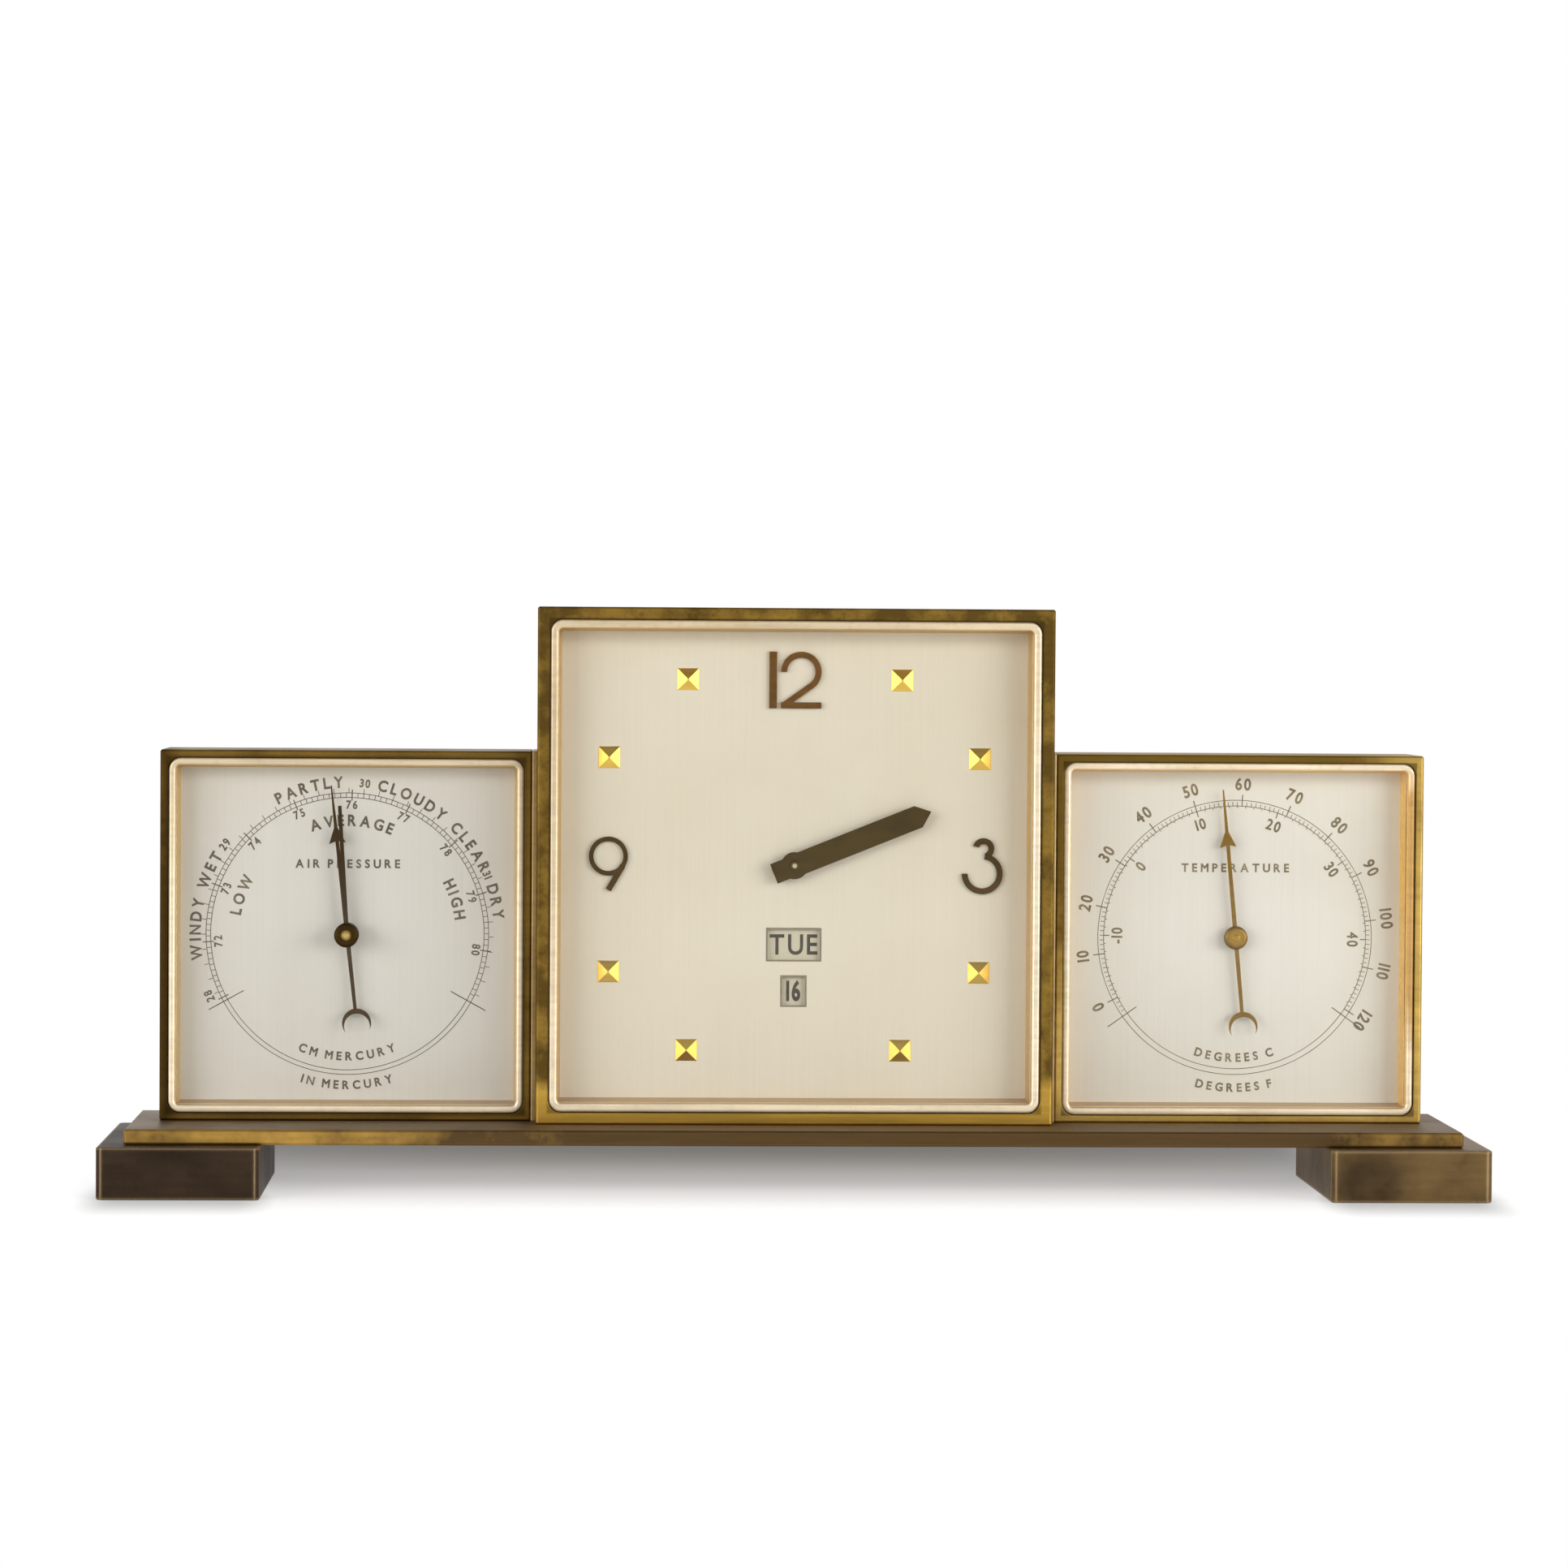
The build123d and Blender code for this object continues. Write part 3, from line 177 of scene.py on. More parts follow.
# %% [markdown]
# ## Shade on the floor
# The paper glows a little by itself, which keeps it white, and the lamps' shadows fall on top. Under
# the plate the real shade is deep and very soft, and three lamps alone draw it too hard. So the glow
# fades out in one patch under and behind the plate, and in a small one before and beside each foot. A
# patch is a product of soft steps over the floor. A mask painted by hand would work too, but it would
# need a picture file.

# %% Floor shade
def blank(name):
    """A new material with an empty node tree."""
    made = bpy.data.materials.new(name)
    made.use_nodes = True
    made.node_tree.nodes.clear()
    return made, made.node_tree


def patch(tree, steps):
    """A soft patch: the product of steps, each a value, where it starts and ends, and its two levels."""
    depth = 1.0
    for value, start, end, before, after in steps:
        step = ramp(tree, value, (start, end), (before, after), soft=True)
        depth = maths(tree, "MULTIPLY", depth, step)
    return depth


paper, tree = blank("floor_white")
floor_mesh.materials.append(paper)
on_floor = add(tree, "TexCoord").outputs["Object"]
along = add(tree, "SeparateXYZ", {0: on_floor}).outputs
back = along["Y"]
beside = maths(tree, "ABSOLUTE", along["X"])
under_plate = patch(tree, [(back, -0.075, 0.09, 0.0, 0.93), (back, 0.085, 0.14, 1.0, 0.0),
                           (beside, 0.105, 0.142, 1.0, 0.0)])
at_feet = patch(tree, [(back, -0.062, -0.026, 0.0, 0.6), (beside, 0.096, 0.108, 0.0, 1.0),
                       (beside, 0.131, 0.141, 1.0, 0.0), (back, -0.02, 0.02, 1.0, 0.0)])
shade = maths(tree, "MAXIMUM", under_plate, at_feet)
print("Shade made of", len(tree.nodes), "nodes")

# %% [markdown]
# ## Paper of the floor
# Near the object, within an oval, the camera and the brass see the glowing, shaded paper. Further off
# the camera sees pure white. Light that bounces about between surfaces meets plain matt paper, so that
# the glow doesn't light the object from below. Light Path's ray kinds pick between these three.

# %% Floor paper
GLOW = 0.83
LIT_PAPER = (0.42, 0.42, 0.42, 1.0)
MATT_PAPER = (0.8, 0.8, 0.8, 1.0)
OVAL = (3.2, 4.0, 0.0)


def choose(tree, amount, first, second):
    """Blends two shaders."""
    return add(tree, "MixShader", {0: amount, 1: first.outputs[0], 2: second.outputs[0]})


glow = add(tree, "Emission", {"Color": WHITE, "Strength": ramp(tree, shade, (0.0, 1.0), (GLOW, 0.0))})
lit = add(tree, "BsdfDiffuse", {"Color": LIT_PAPER})
near = add(tree, "AddShader", {0: glow.outputs[0], 1: lit.outputs[0]})
oval = add(tree, "VectorMath", {0: on_floor, 1: OVAL}, operation="MULTIPLY").outputs[0]
reach = add(tree, "VectorMath", {0: oval}, operation="LENGTH").outputs["Value"]
far = ramp(tree, reach, (0.5, 1.0), soft=True)
matt = add(tree, "BsdfDiffuse", {"Color": MATT_PAPER})
path = add(tree, "LightPath").outputs
seen = choose(tree, far, near, add(tree, "Emission", {"Color": WHITE}))
unseen = choose(tree, path["Is Glossy Ray"], matt, choose(tree, far, near, matt))
look = choose(tree, path["Is Camera Ray"], unseen, seen)
add(tree, "OutputMaterial", {"Surface": look.outputs[0]})
print("Floor paper:", len(tree.nodes), "nodes")

# %% [markdown]
# ## Shared effects
# Old brass is worn on its edges, stained in patches and brushed, and its seams look dark. Each effect is
# a node group, built once and placed in every finish with its own values. Painted textures could show the
# same, but a group works at any size and on any piece. First come the helpers that make a group and put
# it to use.

# %% Group helpers
VALUE = "NodeSocketFloat"
VECTOR = "NodeSocketVector"


def group(name, inputs, outputs):
    """A node group with the named sockets; returns its tree, its inputs and its output node."""
    made = bpy.data.node_groups.new(name, "ShaderNodeTree")
    for label, kind in inputs.items():
        made.interface.new_socket(label, in_out="INPUT", socket_type=kind)
    for label, kind in outputs.items():
        made.interface.new_socket(label, in_out="OUTPUT", socket_type=kind)
    return made, made.nodes.new("NodeGroupInput").outputs, made.nodes.new("NodeGroupOutput")


def effect(tree, name, **inputs):
    """Puts a group into a material, with its values, and returns its outputs."""
    node = tree.nodes.new("ShaderNodeGroup")
    node.node_tree = bpy.data.node_groups[name]
    for label, value in inputs.items():
        node.inputs[label].default_value = value
    return node.outputs


print("Node groups so far:", len(bpy.data.node_groups))

# %% [markdown]
# ## Worn edges
# Handling rubs the corners of brass, and on the feet the bright edge colour is also a painted highlight.
# The Bevel node gives a rounded normal near a corner. Where it differs from the true normal there is an
# edge, and the rounded normal also makes a sharp corner catch light like a real one. Pointiness is the
# other common way, but it needs a dense mesh, and CAD meshes are coarse.

# %% Edge group
tree, given, out = group("edge", {"Radius": VALUE}, {"Edge": VALUE, "Normal": VECTOR})
rounded = add(tree, "Bevel", {"Radius": given["Radius"]}, samples=6).outputs[0]
true = add(tree, "NewGeometry").outputs["Normal"]
alike = add(tree, "VectorMath", {0: rounded, 1: true}, operation="DOT_PRODUCT").outputs["Value"]
tree.links.new(ramp(tree, alike, (0.995, 0.80)), out.inputs["Edge"])
tree.links.new(rounded, out.inputs["Normal"])
print("Group:", tree.name, len(tree.nodes), "nodes")

# %% [markdown]
# ## Stains
# Patches of brown oxide spread over lacquered brass where the lacquer fails. Cloudy noise, cut between
# a low and a high level, gives such patches. The same group, at other scales, serves for ageing, fuzz
# and dust.

# %% Blotches group
tree, given, out = group("blotches", {"Scale": VALUE, "Low": VALUE, "High": VALUE}, {"Mask": VALUE})
place = add(tree, "TexCoord").outputs["Object"]
cloud = add(tree, "TexNoise", {"Vector": place, "Scale": given["Scale"], "Detail": 5.0,
                               "Roughness": 0.55})
cut = ramp(tree, cloud.outputs["Fac"], (given["Low"], given["High"]), soft=True)
tree.links.new(cut, out.inputs["Mask"])
print("Group:", tree.name, len(tree.nodes), "nodes")

# %% [markdown]
# ## Brushing
# Sheet brass and satin dials are drawn over an abrasive belt, which leaves fine lines in one direction.
# Noise becomes such lines when its coordinates are stretched. An anisotropic shader would spread the
# highlight too, but it shows no lines close up, and the exported model loses it.

# %% Grain group
tree, given, out = group("grain", {"Stretch": VECTOR}, {"Value": VALUE})
place = add(tree, "TexCoord").outputs["Object"]
drawn = add(tree, "VectorMath", {0: place, 1: given["Stretch"]}, operation="MULTIPLY").outputs[0]
lines = add(tree, "TexNoise", {"Vector": drawn, "Scale": 1.0, "Detail": 3.0, "Roughness": 0.55})
tree.links.new(lines.outputs["Fac"], out.inputs["Value"])
print("Group:", tree.name, len(tree.nodes), "nodes")

# %% [markdown]
# ## Dark line in a seam
# The joint between a case and its bezel is drawn as a dark line that softens outwards. An occlusion
# node could find the joint, but it is slow and noisy. The bezels are square, so the distance past a
# square, from its centre and half its side, draws the line exactly.

# %% Seam group
tree, given, out = group("seam", {"Centre": VECTOR, "Half": VALUE, "Width": VALUE}, {"Mask": VALUE})
place = add(tree, "TexCoord").outputs["Object"]
offset = add(tree, "VectorMath", {0: place, 1: given["Centre"]}, operation="SUBTRACT").outputs[0]
apart = add(tree, "VectorMath", {0: offset}, operation="ABSOLUTE").outputs[0]
apart = add(tree, "SeparateXYZ", {0: apart}).outputs
square = maths(tree, "MAXIMUM", apart["X"], apart["Z"])
past = maths(tree, "SUBTRACT", square, given["Half"])
fading = ramp(tree, past, (0.0, given["Width"]), (1.0, 0.0), soft=True)
tree.links.new(fading, out.inputs["Mask"])
print("Group:", tree.name, len(tree.nodes), "nodes")

# %% [markdown]
# ## Colours and blends
# Colours below are written as they look on screen, from 0 to 255, because that is how a colour is
# picked from any swatch. Shaders count in linear light, so each one is converted.

# %% Colours
def rgb(red, green, blue):
    """A colour given as it looks on screen, 0 to 255, as a shader colour."""
    def linear(channel):
        share = channel / 255
        return share / 12.92 if share <= 0.04045 else ((share + 0.055) / 1.055) ** 2.4
    return (linear(red), linear(green), linear(blue), 1.0)


def mix(tree, amount, first, second):
    """Blends two colours."""
    return add(tree, "Mix", {0: amount, 6: first, 7: second}, data_type="RGBA").outputs[2]


def streaked(tree, colour, grain, span, levels):
    """Brightens and darkens a colour along the lines of a grain."""
    streak = ramp(tree, grain, span, levels)
    return add(tree, "VectorMath", {0: colour, 1: streak}, operation="MULTIPLY").outputs[0]


print("Mid grey 128 in linear light:", round(rgb(128, 128, 128)[0], 4))

# %% [markdown]
# ## Where a metal differs
# Brass in a room isn't one colour. It is darker towards one end or in the middle of a plate, its sides
# and ledges mirror other things than its front does, and its seams look dark. Three helpers add that,
# and most of it is painted light: a spot from which the stain colour fades over a distance, which marks
# a smudge on one foot but paints shade and highlights elsewhere; other colours for faces that look
# sideways or up, a painted reflection and painted shade; and a dark line along each seam.

# %% Places on a metal
SEAM_DARK = rgb(40, 29, 12)
Spot = namedtuple("Spot", "x z inner outer close distant")
Sides = namedtuple("Sides", "wall ledge stained", defaults=(0.0,))
Seam = namedtuple("Seam", "bezel width amount")


def stained_at(tree, mask, spot):
    """Darkens by the distance from a spot, seen from the front, in millimetres: painted shade, and a stain
    on one foot.
    """
    place = add(tree, "TexCoord").outputs["Object"]
    flat = add(tree, "VectorMath", {0: place, 1: (1.0, 0.0, 1.0)}, operation="MULTIPLY").outputs[0]
    centre = (spot.x * mm, 0.0, spot.z * mm)
    away = add(tree, "VectorMath", {0: flat, 1: centre}, operation="DISTANCE").outputs["Value"]
    more = ramp(tree, away, (spot.inner * mm, spot.outer * mm), (spot.close, spot.distant), soft=True)
    return maths(tree, "ADD", mask, more, clamp=True)


def with_sides(tree, front, sides, stain_and_shade, blotches):
    """Other colours on walls and ledges than on the front: painted reflection and shade, with some of the
    stains.
    """
    normal = add(tree, "SeparateXYZ", {0: add(tree, "TexCoord").outputs["Normal"]}).outputs
    plain = mix(tree, ramp(tree, normal["Z"], (0.4, 0.9)), sides.wall, sides.ledge)
    side = mix(tree, maths(tree, "MULTIPLY", blotches, sides.stained), plain, stain_and_shade)
    return mix(tree, ramp(tree, normal["Y"], (-0.75, -0.35)), front, side)


def with_dirt(tree, body, seam):
    """A dark line on a case, along the outside of its bezel."""
    low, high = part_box(seam.bezel)
    half = (high.x - low.x) / 2
    seam_line = effect(tree, "seam", Centre=(low + high) / 2, Half=half, Width=seam.width * mm)["Mask"]
    return mix(tree, maths(tree, "MULTIPLY", seam_line, seam.amount), body, SEAM_DARK)


low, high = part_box("clock_bezel")
print("Clock bezel:", round((high.x - low.x) / mm, 2), "mm wide")

# %% [markdown]
# ## Metal recipe
# One recipe serves every metal here. Clean metal shows between large stains and small specks, brushing
# streaks the colour and lifts a fine relief, and edges are rubbed to a third colour, which on the feet
# is also a painted highlight. Stained metal, and metal darkened as painted shade, is duller than clean
# metal. One recipe with many values keeps the pieces looking like one object of one age.

# %% Metal recipe
SPECK_SCALE = 9
SPECK_SHARE = 0.2
STAIN_DULLS = 0.16
GRAIN_DULLS = 0.12
GRAIN_DEPTH = 0.03 * mm
SIDEWAYS = (60.0, 900.0, 900.0)


def metal(name, clean, stain_and_shade, edge, stained=(0.30, 0.95), scale=70.0, rough=0.32, stretch=SIDEWAYS,
          radius=0.4, edge_share=0.7, metallic=1.0, bump=0.12, spot=None, sides=None, seam=None):
    """A metal in its clean colour, its colour for stains and painted shade, and the colour of its edges.
    """
    made, tree = blank(name)
    blotches = effect(tree, "blotches", Scale=scale, Low=stained[0], High=stained[1])["Mask"]
    specks = effect(tree, "blotches", Scale=scale * SPECK_SCALE, Low=0.45, High=0.85)["Mask"]
    grain = effect(tree, "grain", Stretch=stretch)["Value"]
    edges = effect(tree, "edge", Radius=radius * mm)
    dark = maths(tree, "MULTIPLY_ADD", specks, SPECK_SHARE, blotches, clamp=True)
    if spot:
        dark = stained_at(tree, dark, spot)
    body = mix(tree, dark, clean, stain_and_shade)
    if sides:
        body = with_sides(tree, body, sides, stain_and_shade, blotches)
    body = streaked(tree, body, grain, (0.3, 0.7), (0.88, 1.08))
    if seam:
        body = with_dirt(tree, body, seam)
    body = mix(tree, maths(tree, "MULTIPLY", edges["Edge"], edge_share), body, edge)
    dull = ramp(tree, dark, (0.0, 1.0), (rough, rough + STAIN_DULLS))
    relief = add(tree, "Bump", {"Strength": bump, "Distance": GRAIN_DEPTH, "Height": grain,
                                "Normal": edges["Normal"]})
    surface = add(tree, "BsdfPrincipled", {
        "Base Color": body, "Metallic": metallic, "Normal": relief.outputs[0],
        "Roughness": maths(tree, "MULTIPLY_ADD", grain, GRAIN_DULLS, dull)})
    add(tree, "OutputMaterial", {"Surface": surface.outputs[0]})
    return made


print("Depth of the brushing:", GRAIN_DEPTH / mm, "mm")

# %% [markdown]
# ## Dressing the CAD nodes
# A CAD node keeps its shape and its place, and only its material changes. The material goes into the
# node's own slot, so nothing is copied and the piece still moves with its body.

# %% Dressing
def dress(material, *nodes):
    """Gives a material to CAD nodes."""
    for name in nodes:
        frame["nodes"][name].material_slots[0].material = material
    print(material.name, "->", len(nodes), "nodes")


print("Nodes to dress:", len(frame["nodes"]))

# %% [markdown]
# ## Base plate and feet
# The plate is thick sheet brass, golden at its ends and brown in the middle, where it stands in the
# clock's own shade and was polished less. The feet are solid blocks, the left one almost black and the
# right one lighter. Their bright edges are partly rubbed and partly a painted highlight on the bevels.
# Mixing the colours by hand in a picture would fit one view only. A spot on the plate's front and a
# wide, strong edge on the feet hold from every side.

# %% Base and feet
dress(metal("plate_brass", rgb(204, 162, 80), rgb(90, 70, 44), rgb(150, 118, 66), rough=0.38,
            spot=Spot(x=24.0, z=13.0, inner=55.0, outer=136.0, close=1.0, distant=0.0),
            sides=Sides(wall=rgb(150, 120, 76), ledge=rgb(116, 96, 70))), "base_plate")
# The feet's bright edge colours are partly a painted highlight on the bevels.
dress(metal("foot_brass_left", rgb(66, 53, 41), rgb(44, 35, 28), rgb(206, 178, 138), rough=0.45, edge_share=0.9,
            radius=1.0), "foot_left")
dress(metal("foot_brass_right", rgb(124, 100, 63), rgb(70, 56, 39), rgb(214, 186, 144), scale=40.0,
            rough=0.42, edge_share=0.9, radius=1.0,
            spot=Spot(x=111.0, z=4.0, inner=3.0, outer=11.0, close=0.7, distant=0.0)), "foot_right")

# %% [markdown]
# ## Cases
# Each case is a brass box whose narrow front rim frames the bezel. The barometer's is browner and the
# thermometer's brighter. The clock's rim is darkened all round but its bottom, which stays golden as a
# painted reflection of the plate below it, and the thermometer's upper left is darkened as painted
# shade. A spot far outside the case, with a wide radius, fades across it in nearly a straight line, so
# it can darken one end of a rim, as on the barometer's left end. The sides are dimmer than the rims and
# lightly stained, and a dark line follows each bezel.

# %% Cases
# The clock's spot darkens its rim but the bottom, which stays golden as a painted reflection of the plate.
dress(metal("case_brass", rgb(208, 166, 74), rgb(97, 75, 33), rgb(90, 68, 26), rough=0.30, scale=130.0,
            spot=Spot(x=0.0, z=600.0, inner=579.0, outer=585.0, close=0.65, distant=-0.9),
            sides=Sides(wall=rgb(128, 101, 45), ledge=rgb(122, 96, 44), stained=0.6),
            seam=Seam("clock_bezel", width=0.5, amount=0.5)), "clock_case")
dress(metal("case_brass_left", rgb(141, 111, 50), rgb(72, 53, 21), rgb(64, 47, 19), rough=0.30,
            spot=Spot(x=-322.0, z=50.0, inner=201.0, outer=206.0, close=0.8, distant=0.0),
            sides=Sides(wall=rgb(92, 71, 32), ledge=rgb(98, 76, 36), stained=0.5),
            seam=Seam("barometer_bezel", width=0.8, amount=0.6)), "barometer_case")
# The thermometer's spot paints shade on the upper left of its rim.
dress(metal("case_brass_right", rgb(222, 185, 100), rgb(114, 90, 37), rgb(124, 95, 38), rough=0.28,
            stained=(0.40, 1.0),
            spot=Spot(x=72.0, z=92.0, inner=30.0, outer=66.0, close=1.1, distant=0.0),
            sides=Sides(wall=rgb(176, 143, 72), ledge=rgb(150, 120, 56), stained=0.5),
            seam=Seam("thermometer_bezel", width=0.35, amount=0.6)), "thermometer_case")

# %% [markdown]
# ## Joining strips and bezels
# A thin pale strip fills the joint between two cases. The bezels are bright lips round the glass,
# lacquered and nearly ivory where they face the light. Their warmer inner walls are a painted
# reflection of the dial and the lamps, their upward ledges a darker painted shade, and a spot paints
# shade on the upper left of the clock's lip, the top of the barometer's and the right of the
# thermometer's. Pure metal would mirror the dim room and go dark, so this finish is only partly
# metallic, as a pale lacquer is.

# %% Strips and bezels
PALE_LIP = rgb(252, 234, 202)
RUBBED_LIP = rgb(252, 236, 204)
LIP_LEDGE = rgb(186, 152, 98)

dress(metal("strip_brass", rgb(176, 150, 102), rgb(128, 102, 60), rgb(206, 182, 136), rough=0.35),
      "joining_strips")
# Each wall colour is a painted reflection, LIP_LEDGE a painted shade, and each spot paints shade on a lip.
for part, wall, stain_and_shade, spot in (
        ("clock", rgb(212, 174, 102), rgb(190, 166, 126),
         Spot(x=-300.0, z=520.0, inner=500.0, outer=585.0, close=0.6, distant=0.0)),
        ("barometer", rgb(222, 186, 112), rgb(190, 166, 126),
         Spot(x=-100.0, z=600.0, inner=520.0, outer=560.0, close=0.5, distant=0.0)),
        ("thermometer", rgb(252, 206, 112), rgb(192, 150, 88),
         Spot(x=220.0, z=56.0, inner=99.0, outer=103.0, close=1.0, distant=0.0))):
    dress(metal(part + "_bezel_brass", PALE_LIP, stain_and_shade, RUBBED_LIP, rough=0.26, stained=(0.5, 1.1),
                radius=0.15, edge_share=0.3, metallic=0.45, bump=0.02, spot=spot,
                sides=Sides(wall=wall, ledge=LIP_LEDGE)), part + "_bezel")

# %% [markdown]
# ## Hour markers and numerals
# The markers are small polished pyramids, stamped and gilt: each facet mirrors another part of the
# room, so they need a clean, smooth metal and no drawn-on light and dark. The numerals are cut from
# sheet and have turned brown. The 3 and the 9 are painted darker than the 12, as painted shade that
# grows downwards from the top of the dial.

# %% Markers and numerals
dress(metal("marker_gold", rgb(232, 194, 92), rgb(208, 164, 66), rgb(240, 210, 128), rough=0.26,
            stained=(0.6, 1.0), radius=0.05, edge_share=0.2, bump=0.02), "hour_markers")
# The spot paints shade on the 3 and the 9, so that they are darker than the 12.
dress(metal("numeral_gold", rgb(142, 100, 52), rgb(80, 62, 29), rgb(112, 86, 46), rough=0.3, radius=0.12,
            scale=160.0, spot=Spot(x=0.0, z=20.0, inner=60.0, outer=78.0, close=0.8, distant=0.0)),
      "dial_numerals")

# %% [markdown]
# ## Hands and needles
# The clock's hands and the barometer's needle are browned bronze, so that they read against a pale
# dial. The set hand and the thermometer's needle are brass, with a hub that is painted bright in the
# middle and dark at its rim, a painted highlight and painted shade as on a domed hub; the clock's
# centre arbor gets a painted highlight the same way. Two materials on one piece would do that. A spot
# on the hub's centre does it with one and a softer border.

# %% Hands and needles
def middle(node):
    """The centre of a node in x and z, in metres."""
    low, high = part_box(node)
    return ((low.x + high.x) / 2, (low.z + high.z) / 2)


def hub(dial, inner, outer):
    """A painted highlight on a dial's centre: clean within the inner radius and dark past the outer, in
    millimetres.
    """
    x, z = middle(dial)
    return Spot(x=x / mm, z=z / mm, inner=inner, outer=outer, close=0.0, distant=1.0)


RARELY = (0.5, 1.2)
dress(metal("hand_bronze", rgb(90, 74, 40), rgb(66, 53, 28), rgb(118, 98, 58), rough=0.42, radius=0.15,
            scale=120.0), "hour_hand", "minute_hand")
dress(metal("arbor_gold", rgb(244, 230, 190), rgb(96, 78, 42), rgb(150, 124, 76), rough=0.25, radius=0.1,
            stained=RARELY, spot=hub("clock_dial", 0.3, 0.6)), "centre_arbor")
dress(metal("needle_bronze", rgb(84, 62, 30), rgb(56, 41, 18), rgb(116, 90, 50), rough=0.34, radius=0.1),
      "barometer_hand")
dress(metal("set_hand_brass", rgb(214, 182, 110), rgb(62, 46, 20), rgb(84, 62, 28), rough=0.3, radius=0.2,
            stained=RARELY, spot=hub("barometer_dial", 0.4, 1.2)), "barometer_set_hand")
dress(metal("needle_gold", rgb(200, 158, 64), rgb(140, 110, 50), rgb(178, 144, 74), rough=0.25,
            radius=0.2, stained=RARELY, spot=hub("thermometer_dial", 0.6, 2.2)), "thermometer_hand")

# %% [markdown]
# ## Back covers and screws
# The back closes with thin brass covers, brushed up and down and less handled than the front, and steel
# screws hold them. They use the same recipe with an upright grain, so that the back belongs to the same
# object.

# %% Back covers and screws
UPRIGHT = (900.0, 900.0, 60.0)
dress(metal("cover_brass", rgb(206, 176, 112), rgb(176, 146, 90), rgb(226, 200, 140), rough=0.36,
            stretch=UPRIGHT), "clock_back_cover", "barometer_back_cover", "thermometer_back_cover")
dress(metal("screw_steel", rgb(176, 172, 164), rgb(120, 114, 104), rgb(214, 210, 202), rough=0.35,
            radius=0.15), "base_screws", "back_cover_screws")

# %% [markdown]
# ## Movement, springs and capsule
# Plates, wheels and pillars are clean brass, springs are blued steel, and the pressure capsule is
# nickelled. They show only with the covers off. The record lists which nodes belong to the movement, so
# the list is read from there and stays right if a wheel is added.

# %% Movement
moving_brass = [node["node"] for node in frame["record"]["subparts"]
                if node["material_slot"] == "movement_brass" and node["node"] != "centre_arbor"]
dress(metal("movement_brass", rgb(212, 180, 108), rgb(168, 134, 70), rgb(236, 208, 146), rough=0.35,
            stained=(0.55, 0.8)), *moving_brass)
dress(metal("spring_steel", rgb(92, 98, 118), rgb(60, 64, 80), rgb(140, 146, 160), rough=0.3),
      "mainspring", "hairspring", "bimetal_coil")
dress(metal("capsule_steel", rgb(196, 194, 188), rgb(150, 146, 138), rgb(226, 224, 218), rough=0.25),
      "aneroid_capsule")

# %% [markdown]
# ## Dials and calendar paper
# The clock dial is champagne and the side dials are silvered. Both are satin, drawn up and down and
# lacquered, with a trace of age. A full metal would mirror the dim room and turn grey, so these are
# pale paint with a little metal in it. The calendar's disc and ring are plain off-white card, by the
# same recipe without metal, painted darker as the shade they lie in behind the dial's windows.

# %% Satin dials
DIAL_GRAIN = (3200.0, 40.0, 25.0)
DIAL_GRAIN_DEPTH = 0.02 * mm
DIAL_GRAIN_DULLS = 0.1


def satin(name, colour, aged, rough, metallic):
    """A pale satin face with fine upright lines and faint ageing."""
    made, tree = blank(name)
    ageing = effect(tree, "blotches", Scale=28.0, Low=0.35, High=0.85)["Mask"]
    grain = effect(tree, "grain", Stretch=DIAL_GRAIN)["Value"]
    body = streaked(tree, mix(tree, ageing, colour, aged), grain, (0.25, 0.75), (0.975, 1.02))
    relief = add(tree, "Bump", {"Strength": 0.06, "Distance": DIAL_GRAIN_DEPTH, "Height": grain})
    surface = add(tree, "BsdfPrincipled", {
        "Base Color": body, "Metallic": metallic, "Normal": relief.outputs[0],
        "Roughness": maths(tree, "MULTIPLY_ADD", grain, DIAL_GRAIN_DULLS, rough)})
    add(tree, "OutputMaterial", {"Surface": surface.outputs[0]})
    return made


dress(satin("clock_dial_satin", rgb(224, 215, 195), rgb(219, 209, 186), 0.45, 0.15), "clock_dial")
dress(satin("silver_dial_left", rgb(218, 214, 205), rgb(212, 207, 195), 0.42, 0.2), "barometer_dial")
dress(satin("silver_dial_right", rgb(228, 224, 213), rgb(222, 216, 203), 0.42, 0.2), "thermometer_dial")
# The calendar card's colour is darkened as painted shade.
dress(satin("calendar_card_in_shade", rgb(200, 192, 168), rgb(190, 181, 156), 0.6, 0.0), "day_disc", "date_ring")

# %% [markdown]
# ## Felt
# Green felt under the feet keeps brass off the furniture. Hair strands could make the nap, but only its
# edge is ever seen. Very fine noise in the colour and in the bump, with some sheen, reads as felt at
# that size.

# %% Felt
felt, tree = blank("felt_green")
fuzz = effect(tree, "blotches", Scale=1800.0, Low=0.3, High=0.7)["Mask"]
nap = add(tree, "Bump", {"Strength": 0.5, "Distance": 0.2 * mm, "Height": fuzz})
surface = add(tree, "BsdfPrincipled", {
    "Base Color": mix(tree, fuzz, rgb(44, 66, 46), rgb(70, 96, 70)), "Roughness": 0.95,
    "Sheen Weight": 0.4, "Normal": nap.outputs[0]})
add(tree, "OutputMaterial", {"Surface": surface.outputs[0]})
dress(felt, "foot_felts")

# %% [markdown]
# ## Glass
# The glasses are thin, flat and clean. A true glass shader would bend the light twice and darken the
# dials with noise. Thin glass hardly bends light, so it is clear, with a mirror that grows towards
# grazing angles. Only front faces mirror: seen from inside the pane, the Fresnel node would call a
# slanting ray a full mirror, and from above the dials would turn black. Faint dust makes the mirror
# slightly uneven.

